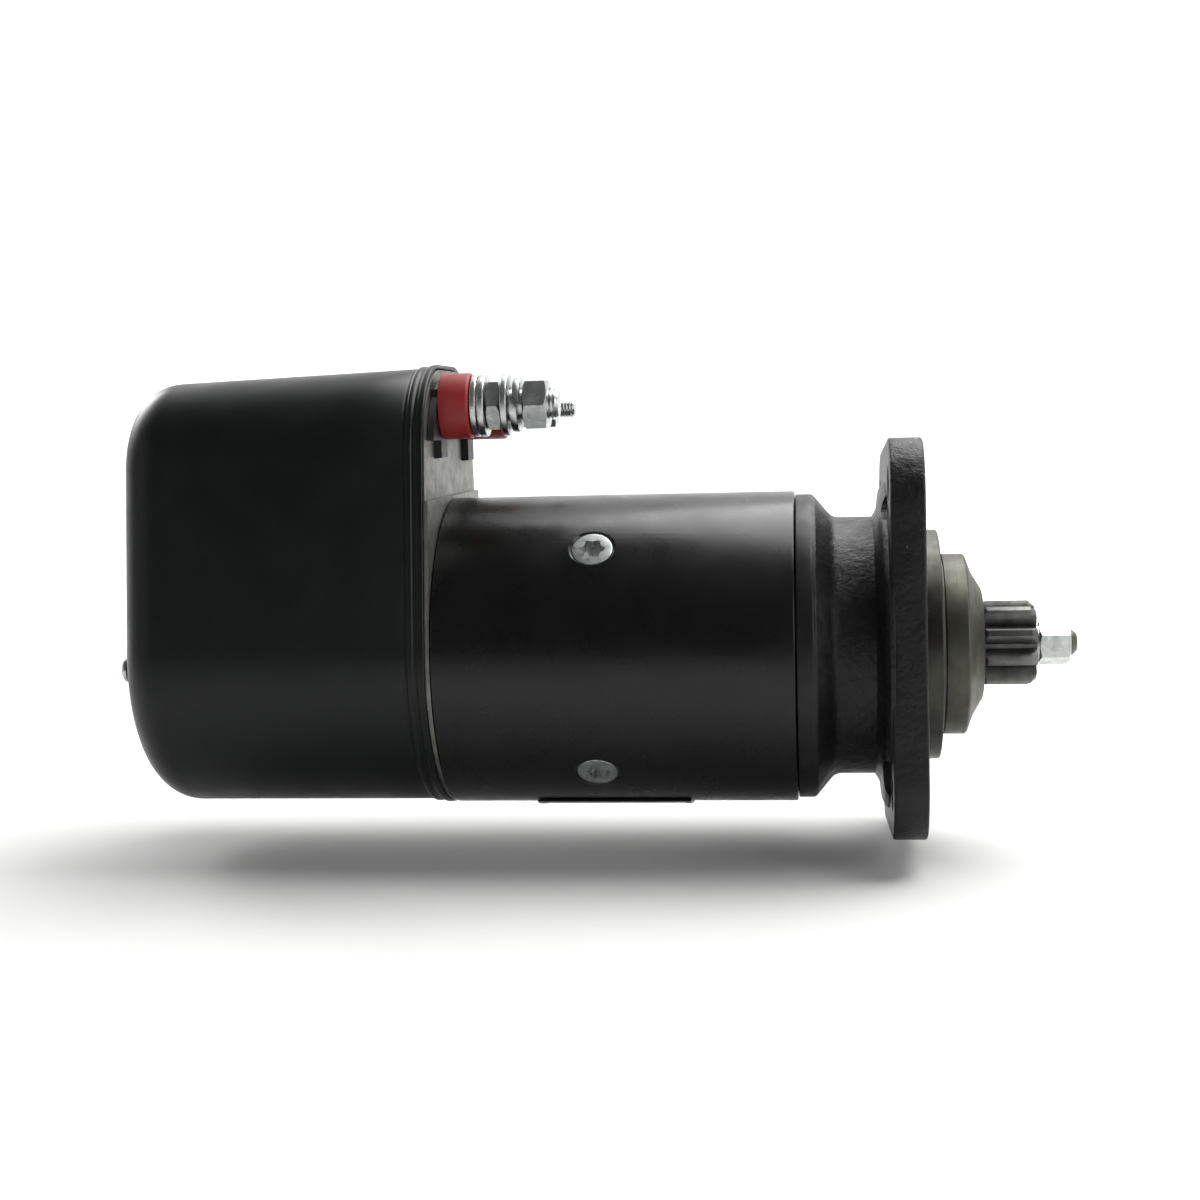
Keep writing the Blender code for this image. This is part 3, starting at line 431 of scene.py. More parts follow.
def prism(name, outline, rear, front, place=None):
    """Extrudes a (y, z) outline along X."""
    curve = bpy.data.curves.new(name, "CURVE")
    curve.dimensions = "2D"
    curve.fill_mode = "BOTH"
    curve.extrude = (front - rear) / 2 * MM
    spline = curve.splines.new("POLY")
    spline.points.add(len(outline) - 1)
    for point, (y, z) in zip(spline.points, outline):
        point.co = (y * MM, z * MM, 0.0, 1.0)
    spline.use_cyclic_u = True
    guide = bpy.data.objects.new(name, curve)
    turn = Matrix.Rotation(math.radians(90), 4, "Z") @ Matrix.Rotation(math.radians(90), 4, "X")
    guide.matrix_world = (place or Matrix()) @ place_at(x=(front + rear) / 2) @ turn
    bpy.context.scene.collection.objects.link(guide)
    return baked(guide)


def loft(name, rings, place=None):
    """A closed solid through loops of (x, y, z) points that all have the same count, ends filled."""
    work = bmesh.new()
    skin(work, [[work.verts.new(p) for p in points] for points in rings])
    return add_mesh(name, work, place)


def soft_plate(name, outline, rear, front, edge, place=None):
    """A plate whose rims are rounded by edge; outline(inset) gives its outline moved inwards."""
    bends = [math.radians(22.5 * i) for i in range(5)]
    back = [(rear + edge * (1 - math.sin(a)), edge * (1 - math.cos(a))) for a in reversed(bends)]
    ahead = [(front - edge * (1 - math.sin(a)), edge * (1 - math.cos(a))) for a in bends]
    return loft(name, [[(x, y, z) for y, z in outline(inset)] for x, inset in back + ahead], place)


def block(name, low, high, place=None):
    outline = [(low[1], low[2]), (high[1], low[2]), (high[1], high[2]), (low[1], high[2])]
    return prism(name, outline, low[0], high[0], place)


def baked(source):
    """Replaces an object by the mesh that its curve or modifiers make, with its place in the mesh."""
    bpy.context.view_layer.update()
    graph = bpy.context.evaluated_depsgraph_get()
    mesh = bpy.data.meshes.new_from_object(source.evaluated_get(graph))
    mesh.transform(source.matrix_world)
    mesh.materials.clear()
    name = source.name
    bpy.data.objects.remove(source, do_unlink=True)
    work = bmesh.new()
    work.from_mesh(mesh)
    bmesh.ops.remove_doubles(work, verts=work.verts, dist=0.000002)
    bmesh.ops.dissolve_degenerate(work, edges=work.edges, dist=0.000001)
    bmesh.ops.recalc_face_normals(work, faces=work.faces)
    work.to_mesh(mesh)
    work.free()
    made = bpy.data.objects.new(name, mesh)
    bpy.context.scene.collection.objects.link(made)
    return made


def bevelled(target, width, segments=2):
    """Rounds the sharp edges of a piece."""
    edge = target.modifiers.new("edge", "BEVEL")
    edge.width = width * MM
    edge.segments = segments
    edge.limit_method = "ANGLE"
    edge.angle_limit = math.radians(35)
    edge.use_clamp_overlap = True
    return target


def shaped(target, tools, operation):
    """target with each tool cut away, joined on or kept in common; the tools are used up."""
    for tool in tools:
        step = target.modifiers.new("shape", "BOOLEAN")
        step.operation = operation
        step.object = tool
        step.solver = "EXACT"
    made = baked(target)
    for tool in tools:
        bpy.data.objects.remove(tool, do_unlink=True)
    return made


def finish(piece, slot, body, *replaced):
    """Gives a piece its material, shading, body and the solids that it stands for."""
    piece.data.materials.clear()
    piece.data.materials.append(MATERIALS[slot])
    piece.data.shade_smooth()
    piece.data.set_sharp_from_angle(angle=math.radians(38))
    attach(piece, body)
    if replaced:
        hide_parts(*replaced)
    return piece


def helix_thread(name, rear, front, radius, pitch, place):
    """A stud with a real helical thread between rear and front, chamfered at the front."""
    chamfer, steps, per_pitch = 1.2, 32, 6
    depth = 0.61 * pitch
    count = int((front - rear) / pitch * per_pitch)
    work = bmesh.new()
    rings = []
    for k in range(count + 1):
        x = rear + (front - rear) * k / count
        limit = radius if front - x > chamfer else radius - (chamfer - (front - x)) * 0.9
        ring = []
        for i in range(steps):
            turn = math.tau * i / steps
            phase = (x / pitch - i / steps) % 1.0
            r = min(limit, radius - depth * max(0.0, abs(phase * 2 - 1) - 0.12))
            ring.append(work.verts.new((x, r * math.cos(turn), r * math.sin(turn))))
        rings.append(ring)
    skin(work, rings)
    return add_mesh(name, work, place)


def hex_nut(name, rear, front, across_flats, bore, place, turn):
    """A hexagon nut: both ends turned back to a chamfer, and the bore's mouths opened."""
    corner = across_flats / math.sqrt(3)
    flat = across_flats / 2 - 0.35
    drop = (corner - flat) * 0.58
    outer = [(front, flat), (front - drop, corner + 0.05), (rear + drop, corner + 0.05), (rear, flat)]
    inner = [(rear, bore + 0.7), (rear + 0.8, bore), (front - 0.8, bore), (front, bore + 0.7)]
    body = lathe(name, outer + inner, place, SMALL, 0.05)
    flats = prism(name + "_flats", hexagon(across_flats, turn), rear - 1, front + 1, place)
    return shaped(body, [flats], "INTERSECT")


def washer(name, rear, front, inner, outer, place, soft=0.3):
    return lathe(name, [(front, outer), (rear, outer), (rear, inner), (front, inner)], place, SMALL, soft)


# ---------------------------------------------------------------- rear end

def rear_cap():
    """A deep-drawn cap: flared rim, two shallow beads behind it, drafted sides and a full fillet."""
    rim = [(0.0, -1.1), (1.1, -1.2), (2.5, -1.0), (3.2, -0.2), (4.1, -0.15), (4.7, -0.75), (6.2, -0.75),
           (6.9, 0.0), (7.3, 0.35), (7.9, 0.35), (8.5, 0.0)]
    rim = softened(rim, 0.45, closed=False, steps=2)
    length = CAP_FRONT - CAP_REAR - CAP_FILLET
    walls = [(share * length, 0.0) for share in (0.25, 0.5, 0.75)]
    bends = [math.radians(6 * i) for i in range(16)]
    fillet = [(length + CAP_FILLET * math.sin(a), CAP_FILLET * (1 - math.cos(a))) for a in bends]
    rings = []
    for back, inset in rim + walls + fillet:
        rings.append([(CAP_FRONT - back, y, z) for y, z in arch(inset, back * CAP_TAPER)])
    last = rings[-1]
    for share, rise in ((0.9, 0.55), (0.78, 1.1), (0.62, 1.6), (0.42, 2.1), (0.2, 2.4)):
        rings.append([(CAP_REAR - rise, y * share, CAP_CROWN_Z + (z - CAP_CROWN_Z) * share)
                      for _, y, z in last])
    work = bmesh.new()
    skin(work, [[work.verts.new(p) for p in points] for points in rings], ends=(-1,))
    cap = add_mesh("rear_cap_shell", work)
    wall = cap.modifiers.new("wall", "SOLIDIFY")
    wall.thickness = CAP_WALL * MM
    wall.offset = -1.0
    wall.use_even_offset = False
    finish(cap, "cap_paint", "housing", "rear_cap")


def cap_screws():
    """Low heads with a cross recess."""
    seat, tip, shank, head = CAP_SCREW_SEAT, CAP_REAR + 20.5, 3.0, 4.8
    profile = [(tip, shank - 0.6), (tip - 0.6, shank), (seat, shank), (seat, head), (seat - 1.3, head),
               (seat - 2.4, 3.4)]
    low, high = (seat - 3.0, -2.3, -0.45), (seat - 1.0, 2.3, 0.45)
    for number, side in enumerate((-1, 1), 1):
        place = place_at(y=side * CAP_SCREW_Y, z=CAP_SCREW_Z)
        screw = solid_lathe(f"cap_screw_{number}", profile, place, SMALL, 0.25)
        bars = [block("recess", low, high, place @ about_x(turn)) for turn in (20, 110)]
        screw = shaped(screw, bars, "DIFFERENCE")
        finish(screw, "zinc", "housing", f"rear_cap_screw_{number}")


def end_frame():
    """Die-cast aluminium frame: the light line behind the cap's rim and the face around the terminals."""
    made = prism("end_frame", arch(2.2), FRAME_REAR, FRAME_UPPER_FACE)
    edge = prism("frame_edge", arch(0.9), CAP_FRONT - 1.2, FRAME_UPPER_FACE)
    lower = [(y, min(z, FRAME_STEP_Z)) for y, z in arch(-0.4) if z < FRAME_STEP_Z + 3]
    flange = prism("frame_flange", lower, CAP_FRONT + GAP, FRAME_LOWER_FACE)
    spigot = lathe("frame_spigot", [(-175.0, 53.9), (-190.0, 53.9), (-190.0, 50.0), (-175.0, 50.0)])
    hub = solid_lathe("frame_hub", [(-182.6, 20.0), (-200.0, 20.0)])
    made = shaped(made, [edge, flange, spigot, hub], "UNION")
    tools = [solid_lathe("bore", [(RUN_IN, BUSH_BORE_R), (RUN_OUT, BUSH_BORE_R)], soft=0.0),
             block("terminal_window", (-200, -33.4, 85.7), (-175, 33.4, 103.3)),
             block("lead_window", (RUN_OUT, -7.0, 41.5), (RUN_IN, 3.0, 50.5))]
    for low, high, foot in BLOCK_LEGS:
        tools.append(block("leg_slot", (-186.5, low - GAP, foot - GAP), (-175, high + GAP, 90.0)))
    for side in (-1, 1):
        tools.append(solid_lathe("bolt_hole", [(RUN_IN, 3.5), (RUN_OUT, 3.5)], place_at(y=side * BOLT_Y),
                                 TINY, 0.0))
    finish(shaped(made, tools, "DIFFERENCE"), "cast_aluminium", "housing", "commutator_end_frame")


def terminal_block():
    """Black moulding: a face plate with two legs and a boss, edges rounded."""
    face = [(y, max(z, 83.8)) for y, z in arch(5.0) if z > 82.0]
    made = prism("terminal_block_moulding", face, FRAME_UPPER_FACE + GAP, BLOCK_FRONT)
    tools = [block("block_boss", (BLOCK_REAR, -33.0, 86.0), (-181.0, 33.0, 103.0))]
    for low, high, foot in BLOCK_LEGS:
        tools.append(block("block_leg", (-186.0, low, foot), (BLOCK_FRONT, high, 88.0)))
    made = shaped(made, tools, "UNION")
    holes = []
    for y, z, inner in ((BATTERY_Y, TERMINAL_Z, BATTERY_STUD_R), (CONTROL_Y, CONTROL_Z, CONTROL_STUD_R),
                        (PIN_Y, TERMINAL_Z, PIN_R)):
        cut = [(RUN_IN, inner + GAP), (RUN_OUT, inner + GAP)]
        holes.append(solid_lathe("block_hole", cut, place_at(y=y, z=z), 32, 0.0))
    made = bevelled(shaped(made, holes, "DIFFERENCE"), 0.55)
    finish(made, "black_plastic", "housing", "terminal_block")


def battery_terminal():
    """Red insulator, two flat washers, a thin nut, a third washer, a spring washer and the clamp nut."""
    place = place_at(y=BATTERY_Y, z=TERMINAL_Z)
    bore, front, outer = BATTERY_STUD_R + GAP, BATTERY_INSULATOR_FRONT, BATTERY_INSULATOR_R
    profile = [(front, outer - 0.7, 0.6), (front - 0.7, outer, 0.4), (INSULATOR_REAR, outer),
               (INSULATOR_REAR, bore), (front, bore)]
    sleeve = lathe("battery_insulator_sleeve", profile, place, SMALL, 0.3)
    finish(sleeve, "red_plastic", "housing", "battery_insulator")
    for number, (rear, front) in enumerate(((-168.3, -165.9), (-165.6, -162.9), (-156.7, -154.2)), 1):
        ring = washer(f"battery_flat_washer_{number}", rear, front, bore, WASHER_R, place, 0.55)
        finish(ring, "zinc", "housing", f"battery_washer_{number}")
    nut = hex_nut("battery_lock_nut_dressed", -162.6, -157.0, BATTERY_NUT_AF, bore, place, 3.0)
    finish(nut, "zinc", "housing", "battery_lock_nut")
    nut = hex_nut("battery_clamp_nut_dressed", -148.6, -139.3, BATTERY_NUT_AF, bore, place, 3.0)
    finish(nut, "zinc", "housing", "battery_clamp_nut")
    ring = split_washer("battery_split_washer", -153.5, -149.3, bore, SPRING_WASHER_R, place)
    finish(ring, "zinc", "housing", "battery_spring_washer")
    shank = [(BATTERY_TIP - 6.0, BATTERY_STUD_R), (BLOCK_REAR - 2.3, BATTERY_STUD_R)]
    stud = solid_lathe("battery_stud_body", shank, place, SMALL, 0.2)
    head = block("stud_head", (BLOCK_REAR - 3.3, -6.0, -8.0), (BLOCK_REAR - GAP, 8.0, 6.0), place)
    thread = helix_thread("stud_thread", BATTERY_TIP - 7.0, BATTERY_TIP, BATTERY_STUD_R, 1.5, place)
    finish(shaped(stud, [head, thread], "UNION"), "zinc", "housing", "battery_stud")


def split_washer(name, rear, front, inner, outer, place):
    """A spring washer: one turn of square bar whose two ends stand a little apart."""
    middle, half, steps = (rear + front) / 2, (front - rear) / 2 - 0.75, 72
    work = bmesh.new()
    rings = []
    for k in range(steps + 1):
        share = k / steps
        turn = SPLIT_ANGLE + SPLIT_HALF_GAP + (math.tau - 2 * SPLIT_HALF_GAP) * share
        x = middle + 0.55 * (2 * share - 1)
        corners = softened([(x + half, inner), (x + half, outer), (x - half, outer), (x - half, inner)],
                           0.35, True, 2)
        rings.append([work.verts.new((u, r * math.cos(turn + SPLIT_SLANT * (u - middle)),
                                      r * math.sin(turn + SPLIT_SLANT * (u - middle))))
                      for u, r in corners])
    skin(work, rings)
    return add_mesh(name, work, place)


def control_terminal():
    """Red insulator, a nut with its washer, and a loose nut near the tip of the stud."""
    place = place_at(y=CONTROL_Y, z=CONTROL_Z)
    bore, front, outer = CONTROL_STUD_R + GAP, CONTROL_INSULATOR_FRONT, CONTROL_INSULATOR_R
    profile = [(front, outer - 0.8, 0.8), (front - 1.0, outer), (INSULATOR_REAR, outer),
               (INSULATOR_REAR, bore), (front, bore)]
    sleeve = lathe("control_insulator_sleeve", profile, place, SMALL, 0.3)
    finish(sleeve, "red_plastic", "housing", "control_insulator")
    nut = hex_nut("control_nut_dressed", -162.7, -155.2, CONTROL_NUT_AF, bore, place, 12.0)
    collar = washer("control_nut_collar", -163.6, -162.1, bore, 8.0, place)
    finish(shaped(nut, [collar], "UNION"), "zinc", "housing", "control_nut")
    nut = hex_nut("control_loose_nut", -149.6, -143.1, CONTROL_NUT_AF, bore, place, 18.0)
    finish(nut, "zinc", "housing")
    shank = [(-158.0, CONTROL_STUD_R), (BLOCK_REAR, CONTROL_STUD_R)]
    stud = solid_lathe("control_stud_body", shank, place, SMALL, 0.2)
    thread = helix_thread("control_thread", -158.5, CONTROL_TIP, CONTROL_STUD_R, 1.25, place)
    finish(shaped(stud, [thread], "UNION"), "zinc", "housing", "control_stud")


# ---------------------------------------------------------------- pole housing

def pole_housing():
    """Plain tube with a countersink for each pole screw."""
    inner = HOUSING_R - YOKE_WALL
    profile = [(HOUSING_FRONT, HOUSING_R, 0.7), (HOUSING_REAR, HOUSING_R, 0.9), (HOUSING_REAR, inner),
               (HOUSING_FRONT, inner)]
    tube = lathe("pole_tube", profile, steps=160)
    sink = [(HOUSING_R + 1.0, 9.9), (HOUSING_R - 3.6, 5.3), (HOUSING_R - 8, 5.3)]
    sinks = [solid_lathe("countersink", sink, radial(angle, POLE_X), SMALL, 0.0) for angle in POLE_ANGLES]
    finish(shaped(tube, sinks, "DIFFERENCE"), "housing_paint", "housing", "pole_housing")


def pole_screws():
    """Countersunk screws with a six-lobed recess."""
    head = [(HOUSING_R - 0.9, 7.7, 0.5), (HOUSING_R - 1.8, 7.7, 0.3), (HOUSING_R - 3.9, 5.0), (46.0, 4.8)]
    lobes = []
    for turn in (math.tau * step / 72 for step in range(72)):
        reach = 4.15 + 0.55 * math.cos(6 * turn)
        lobes.append((reach * math.cos(turn), reach * math.sin(turn)))
    for number, angle in enumerate(POLE_ANGLES, 1):
        place = radial(angle, POLE_X)
        screw = solid_lathe(f"pole_screw_head_{number}", head, place, SMALL, 0.2)
        recess = prism("recess", lobes, HOUSING_R - 4.4, HOUSING_R + 1.0, place)
        finish(shaped(screw, [recess], "DIFFERENCE"), "zinc", "housing", f"pole_screw_{number}")


def blank_plate():
    """Thin blank plate around the underside, with a pressed border."""
    low, high, border = HOUSING_R + GAP, HOUSING_R + 1.1, 2.5
    half = math.radians(PLATE_HALF_ANGLE)
    middle = math.radians(-90)

    def outline(margin, bottom, top):
        side = half - margin / HOUSING_R
        outer_arc = arc((0, 0), top, middle - side, middle + side, 40)
        return outer_arc + arc((0, 0), bottom, middle + side, middle - side, 40)

    plate = prism("underside_plate", outline(0.0, low, high), PLATE_REAR, PLATE_FRONT)
    tray = prism("plate_field", outline(border, high - 0.2, high + 1), PLATE_REAR + border,
                 PLATE_FRONT - border)
    plate = bevelled(shaped(plate, [tray], "DIFFERENCE"), 0.12, 1)
    finish(plate, "blank_plate", "housing", "rating_plate")


# ---------------------------------------------------------------- drive end

def drive_end():
    """Cast housing: collar, cone, neck, flange with rounded edges and pilot."""
    front, spigot, inner, steps = HOUSING_FRONT + GAP, 54.2, 50.3, 144
    profile = [(PILOT_FRONT, PILOT_R, 0.9), (-0.5, PILOT_R, 0.2), (-0.5, NECK_R, 0.1), (-33.0, NECK_R, 2.5),
               (-40.6, COLLAR_R, 1.0), (front, COLLAR_R, 0.6), (front, spigot), (-54.0, spigot),
               (-54.0, inner), (-42.0, inner), (-34.0, 44.5), (-14.0, 44.5), (-14.0, BEARING_BORE_R),
               (PILOT_FRONT, BEARING_BORE_R)]
    made = lathe("drive_end_casting", profile, steps=steps)
    clock = about_x(FLANGE_CLOCK)

    def outline(inset):
        low = tuple(value + inset for value in FLANGE_LOW)
        high = tuple(value - inset for value in FLANGE_HIGH)
        return rounded_rectangle(low, high, FLANGE_CORNER - inset)

    flange = soft_plate("flange", outline, FLANGE_BACK, 0.0, 1.0, clock)
    opening = [(1.0, NECK_R - 2.0), (FLANGE_BACK - 1, NECK_R - 2.0)]
    tools = [solid_lathe("opening", opening, steps=steps, soft=0.0)]
    chamfer = BOLT_HOLE_R + 1.8
    drill = [(1.0, chamfer), (-0.8, BOLT_HOLE_R), (FLANGE_BACK + 0.8, BOLT_HOLE_R),
             (FLANGE_BACK - 1.0, chamfer)]
    for y, z in BOLT_HOLES:
        tools.append(solid_lathe("drill", drill, clock @ place_at(y=y, z=z), 48, 0.0))
    flange = shaped(flange, tools, "DIFFERENCE")
    root = [(FLANGE_BACK + 1, NECK_R - 1), (FLANGE_BACK + 1, 63.4), (FLANGE_BACK - 0.6, 63.4, 0.5),
            (FLANGE_BACK - 2.4, 60.4, 1.2), (FLANGE_BACK - 3.2, NECK_R + 3.0, 2.5),
            (FLANGE_BACK - 5.5, NECK_R - 0.5), (FLANGE_BACK - 5.5, NECK_R - 1)]
    root = lathe("flange_root", root, steps=steps)
    faces = [solid_lathe("spot_face", [(FLANGE_BACK, 12.5), (FLANGE_BACK - 6, 12.5)],
                         clock @ place_at(y=y, z=z), SMALL, 0.0) for y, z in BOLT_HOLES]
    root = shaped(root, faces, "DIFFERENCE")
    made = shaped(shaped(made, [flange], "UNION"), [root], "UNION")
    seats = [solid_lathe("bolt_seat", [(-43.6, BOLT_SEAT_R), (-60.0, BOLT_SEAT_R)],
                         place_at(y=side * BOLT_Y), TINY, 0.0) for side in (-1, 1)]
    finish(shaped(made, seats, "DIFFERENCE"), "cast_paint", "housing", "drive_end_housing")


def nose():
    """Turned steel cover in front of the bearing, with fine steps that catch the light."""
    lip, pocket, rear = SPINDLE_R + 0.6, BEARING_BORE_R, PILOT_FRONT + GAP
    profile = [(23.6, lip), (23.6, 21.6, 0.5), (22.9, 22.6, 0.4), (19.6, 28.2, 1.0), (17.3, 34.4, 0.4),
               (16.6, NOSE_R, 0.3), (8.6, NOSE_R, 0.15), (8.3, NOSE_R - 0.4, 0.1), (7.9, NOSE_R - 0.4, 0.1),
               (rear, NOSE_R, 0.1), (rear, pocket), (13.2, pocket), (13.2, lip)]
    finish(lathe("bearing_nose", profile, soft=0.2), "turned_steel", "housing", "bearing_cover")


def toothed(teeth, root, tip, root_share, tip_share, per_flank, per_land=1):
    """A tooth outline as (angle, radius); flanks curve like an involute."""
    pitch = math.tau / teeth
    points = []
    for tooth in range(teeth):
        middle = tooth * pitch
        levels = [i / per_flank for i in range(per_flank + 1)]
        for side, run in ((-1, levels), (1, list(reversed(levels)))):
            for level in run:
                share = root_share + (tip_share - root_share) * level ** 1.45
                points.append((middle + side * share * pitch / 2, root + (tip - root) * level))
            if side < 0:
                for land in range(1, per_land):
                    points.append((middle + (2 * land / per_land - 1) * tip_share * pitch / 2, tip))
    return points


def toothed_bar(name, outline, stations, bore):
    """A toothed bar from stations of (x, largest radius, smallest bore), with the bore cut through."""
    work = bmesh.new()
    outside, inside = [], []
    for x, limit, hollow in stations:
        outside.append([work.verts.new((x, min(r, limit) * math.cos(a), min(r, limit) * math.sin(a)))
                        for a, r in outline])
        inside.append([work.verts.new((x, max(bore, hollow) * math.cos(a), max(bore, hollow) * math.sin(a)))
                       for a, _ in outline])
    loops = outside + inside[::-1]
    skin(work, loops + loops[:1], ends=())
    return add_mesh(name, work)


def pinion():
    """Nine-tooth pinion: teeth chamfered at both ends, more at the front, where they meet the ring gear."""
    outline = toothed(PINION_TEETH, PINION_ROOT_R, PINION_TIP_R, 0.78, 0.20, 8, 3)
    bore = PINION_BORE_R
    stations = [(PINION_FRONT, 14.1, bore + 0.6), (PINION_FRONT - 0.4, 14.7, bore + 0.1),
                (PINION_FRONT - 1.9, 16.1, bore), (PINION_FRONT - 2.3, PINION_TIP_R, bore),
                (PINION_REAR + 0.9, PINION_TIP_R, bore), (PINION_REAR + 0.5, 16.2, bore),
                (PINION_REAR, 15.6, bore + 0.1)]
    finish(toothed_bar("pinion_gear", outline, stations, bore), "gear_steel", "drive", "pinion")


def spindle():
    """Spindle with a splined tail, a ground bearing length and a stub for the pinion."""
    front, bore = PINION_FRONT - 0.4, ROD_R + GAP
    stub, shoulder = PINION_BORE_R - GAP, PINION_REAR - GAP
    profile = [(front, stub, 0.3), (shoulder, stub, 0.2), (shoulder, SPINDLE_R, 0.4), (-50.0, SPINDLE_R),
               (-50.0, bore), (front, bore)]
    body = lathe("spindle_body", profile, steps=96)
    outline = toothed(6, SPINDLE_R, SPLINE_TIP_R, 0.50, 0.42, 2, 2)
    stations = [(-49.0, SPLINE_TIP_R, bore), (-81.4, SPLINE_TIP_R, bore), (-82.0, SPLINE_TIP_R - 0.6, bore)]
    tail = toothed_bar("spline_tail", outline, stations, bore)
    finish(shaped(body, [tail], "UNION"), "gear_steel", "drive", "drive_spindle")


def engaging_rod():
    """Rod through the hollow shaft, from the plunger to the threaded tip that shows in the nut."""
    tip, thread, core = ROD_TIP, ROD_THREAD_R, ROD_THREAD_R - 0.5
    profile = [(tip - 1.0, 0.0), (tip, 1.4, 0.1), (tip, 3.2, 0.4), (tip - 1.7, thread, 0.4),
               (tip - 4.0, thread, 0.2), (tip - 4.5, core, 0.2), (PINION_FRONT, core, 0.2),
               (PINION_FRONT - 0.3, ROD_R, 0.1), (ROD_REAR + 0.8, ROD_R, 0.2), (ROD_REAR, ROD_R - 0.6, 0.1),
               (ROD_REAR, 0.0)]
    rod = lathe("rod_body", profile, None, SMALL, 0.1, closed=False)
    finish(rod, "gear_steel", "drive", "engaging_rod")


def pinion_nut():
    """Nut that holds the pinion, with a small collar against the pinion's face."""
    bore = 5.3
    nut = hex_nut("pinion_nut_dressed", 45.4, 57.2, PINION_NUT_AF, bore, Matrix(), 34.5)
    collar = washer("nut_collar", PINION_FRONT + GAP, 46.6, bore, 6.8, Matrix(), 0.2)
    finish(shaped(nut, [collar], "UNION"), "zinc", "drive", "pinion_nut")


def plunger_spring():
    """The plunger's return spring inside the rear cap, built at one fixed length; the real spring is
    squashed as the plunger moves forward.
    """
    rear, front, radius, wire, turns, stroke = -238.2, -200.6, 7.0, 0.8, 5, 22.0
    count = 36 * turns
    rings = []
    for k in range(count + 1):
        turn = math.tau * turns * k / count
        x = rear + wire + (front - rear - 2 * wire) * k / count
        section = circle(wire, 12, (x, radius))
        rings.append([(u, r * math.cos(turn), r * math.sin(turn)) for u, r in section])
    spring = finish(loft("plunger_spring_dressed", rings), "spring_steel", "housing", "plunger_spring")
    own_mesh(spring)


# ---------------------------------------------------------------- stage, light and camera

def backdrop_material():
    """Pale matt paper, lit from within where it rises behind the object."""
    made = Finish("backdrop")
    made.colour(made.blend(made.noise(300.0), (0.80, 0.80, 0.795), (0.78, 0.78, 0.775)))
    made.shader.inputs["Roughness"].default_value = 0.85
    parts = made.node("ShaderNodeSeparateXYZ")
    made.link(made.place, parts.inputs["Vector"])
    made.shader.inputs["Emission Color"].default_value = (1.0, 1.0, 1.0, 1.0)
    glow = made.spread(parts.outputs["Y"], 0.15, 1.2, 0.0, 0.95)
    made.link(glow, made.shader.inputs["Emission Strength"])
    return made.material


def backdrop():
    """A plain pale floor just under the flange that sweeps up into a wall far behind."""
    half_width, near, bend, radius, top, drop = 7.0, -7.0, 1.6, 0.8, 4.0, -0.079
    sweep = [(bend + radius * math.sin(a), drop + radius * (1 - math.cos(a)))
             for a in (math.radians(7.5 * i) for i in range(13))]
    profile = [(near, drop)] + sweep + [(bend + radius, top)]
    mesh = bpy.data.meshes.new("backdrop")
    corners = [(x, y, z) for y, z in profile for x in (-half_width, half_width)]
    faces = [(2 * i, 2 * i + 1, 2 * i + 3, 2 * i + 2) for i in range(len(profile) - 1)]
    mesh.from_pydata(corners, [], faces)
    mesh.materials.append(backdrop_material())
    mesh.shade_smooth()
    made = bpy.data.objects.new("backdrop", mesh)
    bpy.context.scene.collection.objects.link(made)


def area_light(name, location, target, size, power, height=None):
    data = bpy.data.lights.new(name, "AREA")
    data.energy = power
    data.size = size
    if height:
        data.shape = "RECTANGLE"
        data.size_y = height
    made = bpy.data.objects.new(name, data)
    made.location = location
    made.rotation_euler = (Vector(target) - Vector(location)).to_track_quat("-Z", "Y").to_euler()
    bpy.context.scene.collection.objects.link(made)


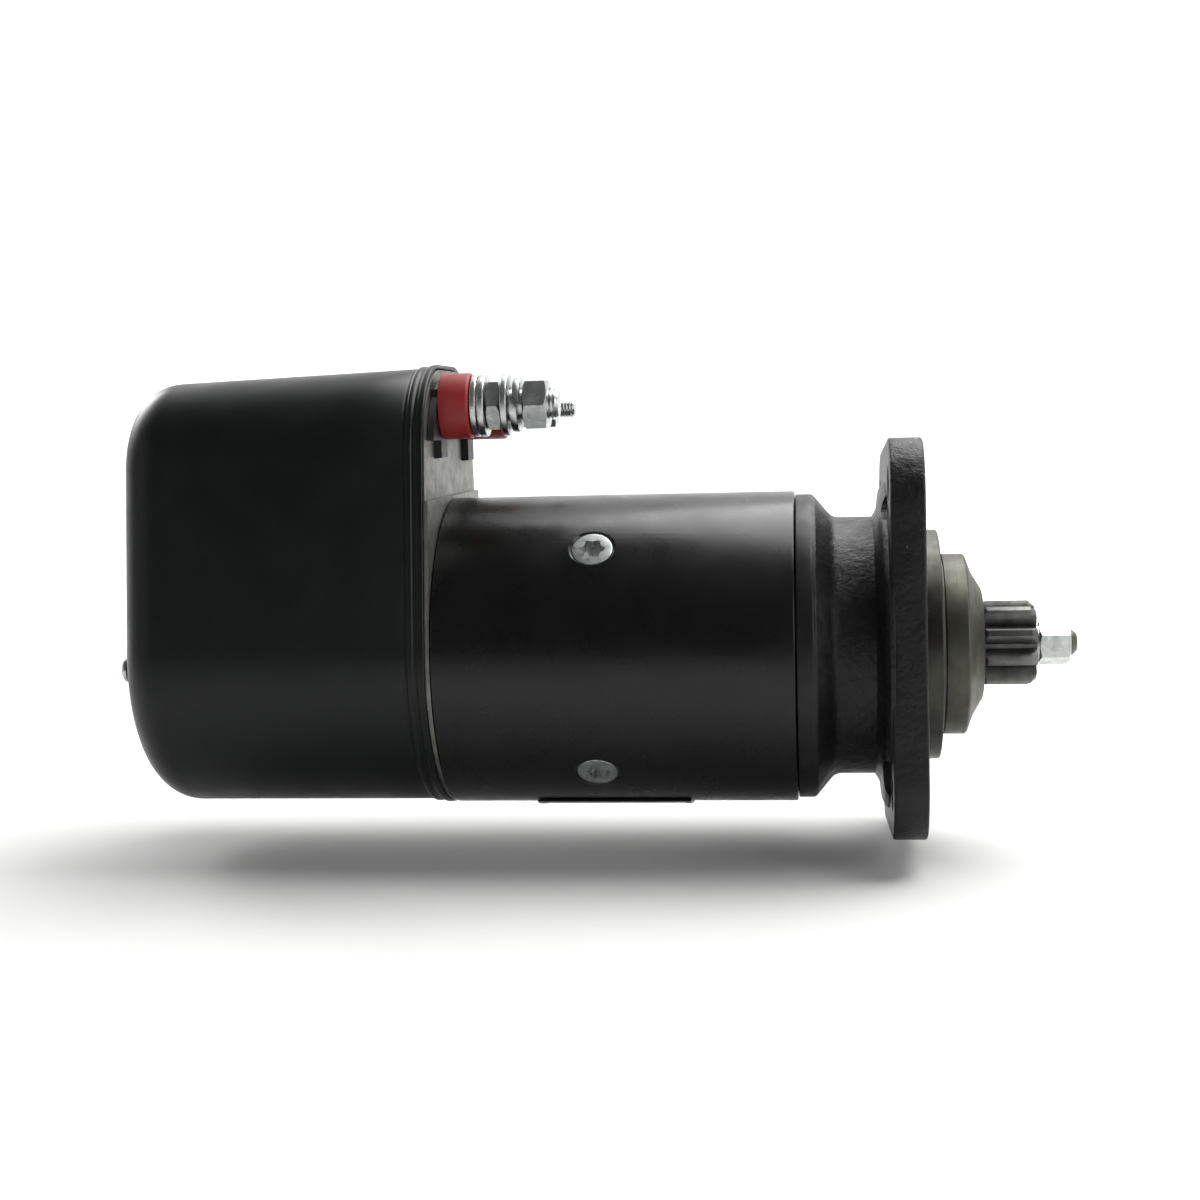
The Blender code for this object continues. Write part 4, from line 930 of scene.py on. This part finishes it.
def lights():
    """Softboxes overhead, on the right, weakly on the left and behind the cap; a world brighter behind."""
    middle = (-0.12, 0.0, 0.02)
    area_light("overhead", (0.25, 0.29, 1.03), middle, 1.2, 20.0, 0.86)
    area_light("right", (1.25, -0.75, 0.45), middle, 0.8, 8.0)
    area_light("left", (-1.4, -0.6, 0.5), middle, 0.8, 1.2)
    area_light("rear left", (-1.05, 0.75, 0.63), (-0.29, 0.0, 0.09), 0.5, 5.0)
    world = bpy.data.worlds.new("studio")
    world.use_nodes = True
    tree = world.node_tree
    background = tree.nodes["Background"]
    background.inputs["Color"].default_value = (1.0, 1.0, 1.0, 1.0)
    direction = tree.nodes.new("ShaderNodeTexCoord")
    parts = tree.nodes.new("ShaderNodeSeparateXYZ")
    tree.links.new(direction.outputs["Generated"], parts.inputs["Vector"])
    share = tree.nodes.new("ShaderNodeMapRange")
    share.interpolation_type = "SMOOTHSTEP"
    tree.links.new(parts.outputs["Y"], share.inputs["Value"])
    for key, number in zip(("From Min", "From Max", "To Min", "To Max"), (-0.05, 0.55, 0.12, 1.05)):
        share.inputs[key].default_value = number
    tree.links.new(share.outputs["Result"], background.inputs["Strength"])
    bpy.context.scene.world = world
    bpy.context.scene.view_settings.view_transform = "Standard"


CAMERA_MM = (-40.0, -732.8, 89.5)
CAMERA_LOOK = (-0.11424, 0.98888, -0.09522)
CAMERA_UP = (0.0, 0.09585, 0.99540)
CAMERA_ROLL = math.radians(-0.797)


def camera():
    data = bpy.data.cameras.new("camera")
    data.sensor_width = 36.0
    data.lens = 56.1
    data.clip_start, data.clip_end = 0.01, 50.0
    made = bpy.data.objects.new("camera", data)
    look = Vector(CAMERA_LOOK).normalized()
    side = look.cross(Vector(CAMERA_UP)).normalized()
    up = side.cross(look)
    turned_side = side * math.cos(CAMERA_ROLL) + up * math.sin(CAMERA_ROLL)
    turned_up = up * math.cos(CAMERA_ROLL) - side * math.sin(CAMERA_ROLL)
    made.matrix_world = Matrix.Translation(Vector(CAMERA_MM) * MM) @ Matrix(
        (turned_side, turned_up, -look)).transposed().to_4x4()
    bpy.context.scene.collection.objects.link(made)
    bpy.context.scene.camera = made


# ---------------------------------------------------------------- the whole picture

def dress_cad_nodes():
    """Every solid that stays gets the procedural material of its slot."""
    for entry in frame["record"]["subparts"]:
        node = frame["nodes"][entry["node"]]
        node.data.materials.clear()
        node.data.materials.append(MATERIALS[entry["material_slot"]])


dress_cad_nodes()
rear_cap()
cap_screws()
end_frame()
terminal_block()
battery_terminal()
control_terminal()
pole_housing()
pole_screws()
blank_plate()
drive_end()
nose()
pinion()
spindle()
engaging_rod()
pinion_nut()
plunger_spring()
backdrop()
lights()
camera()
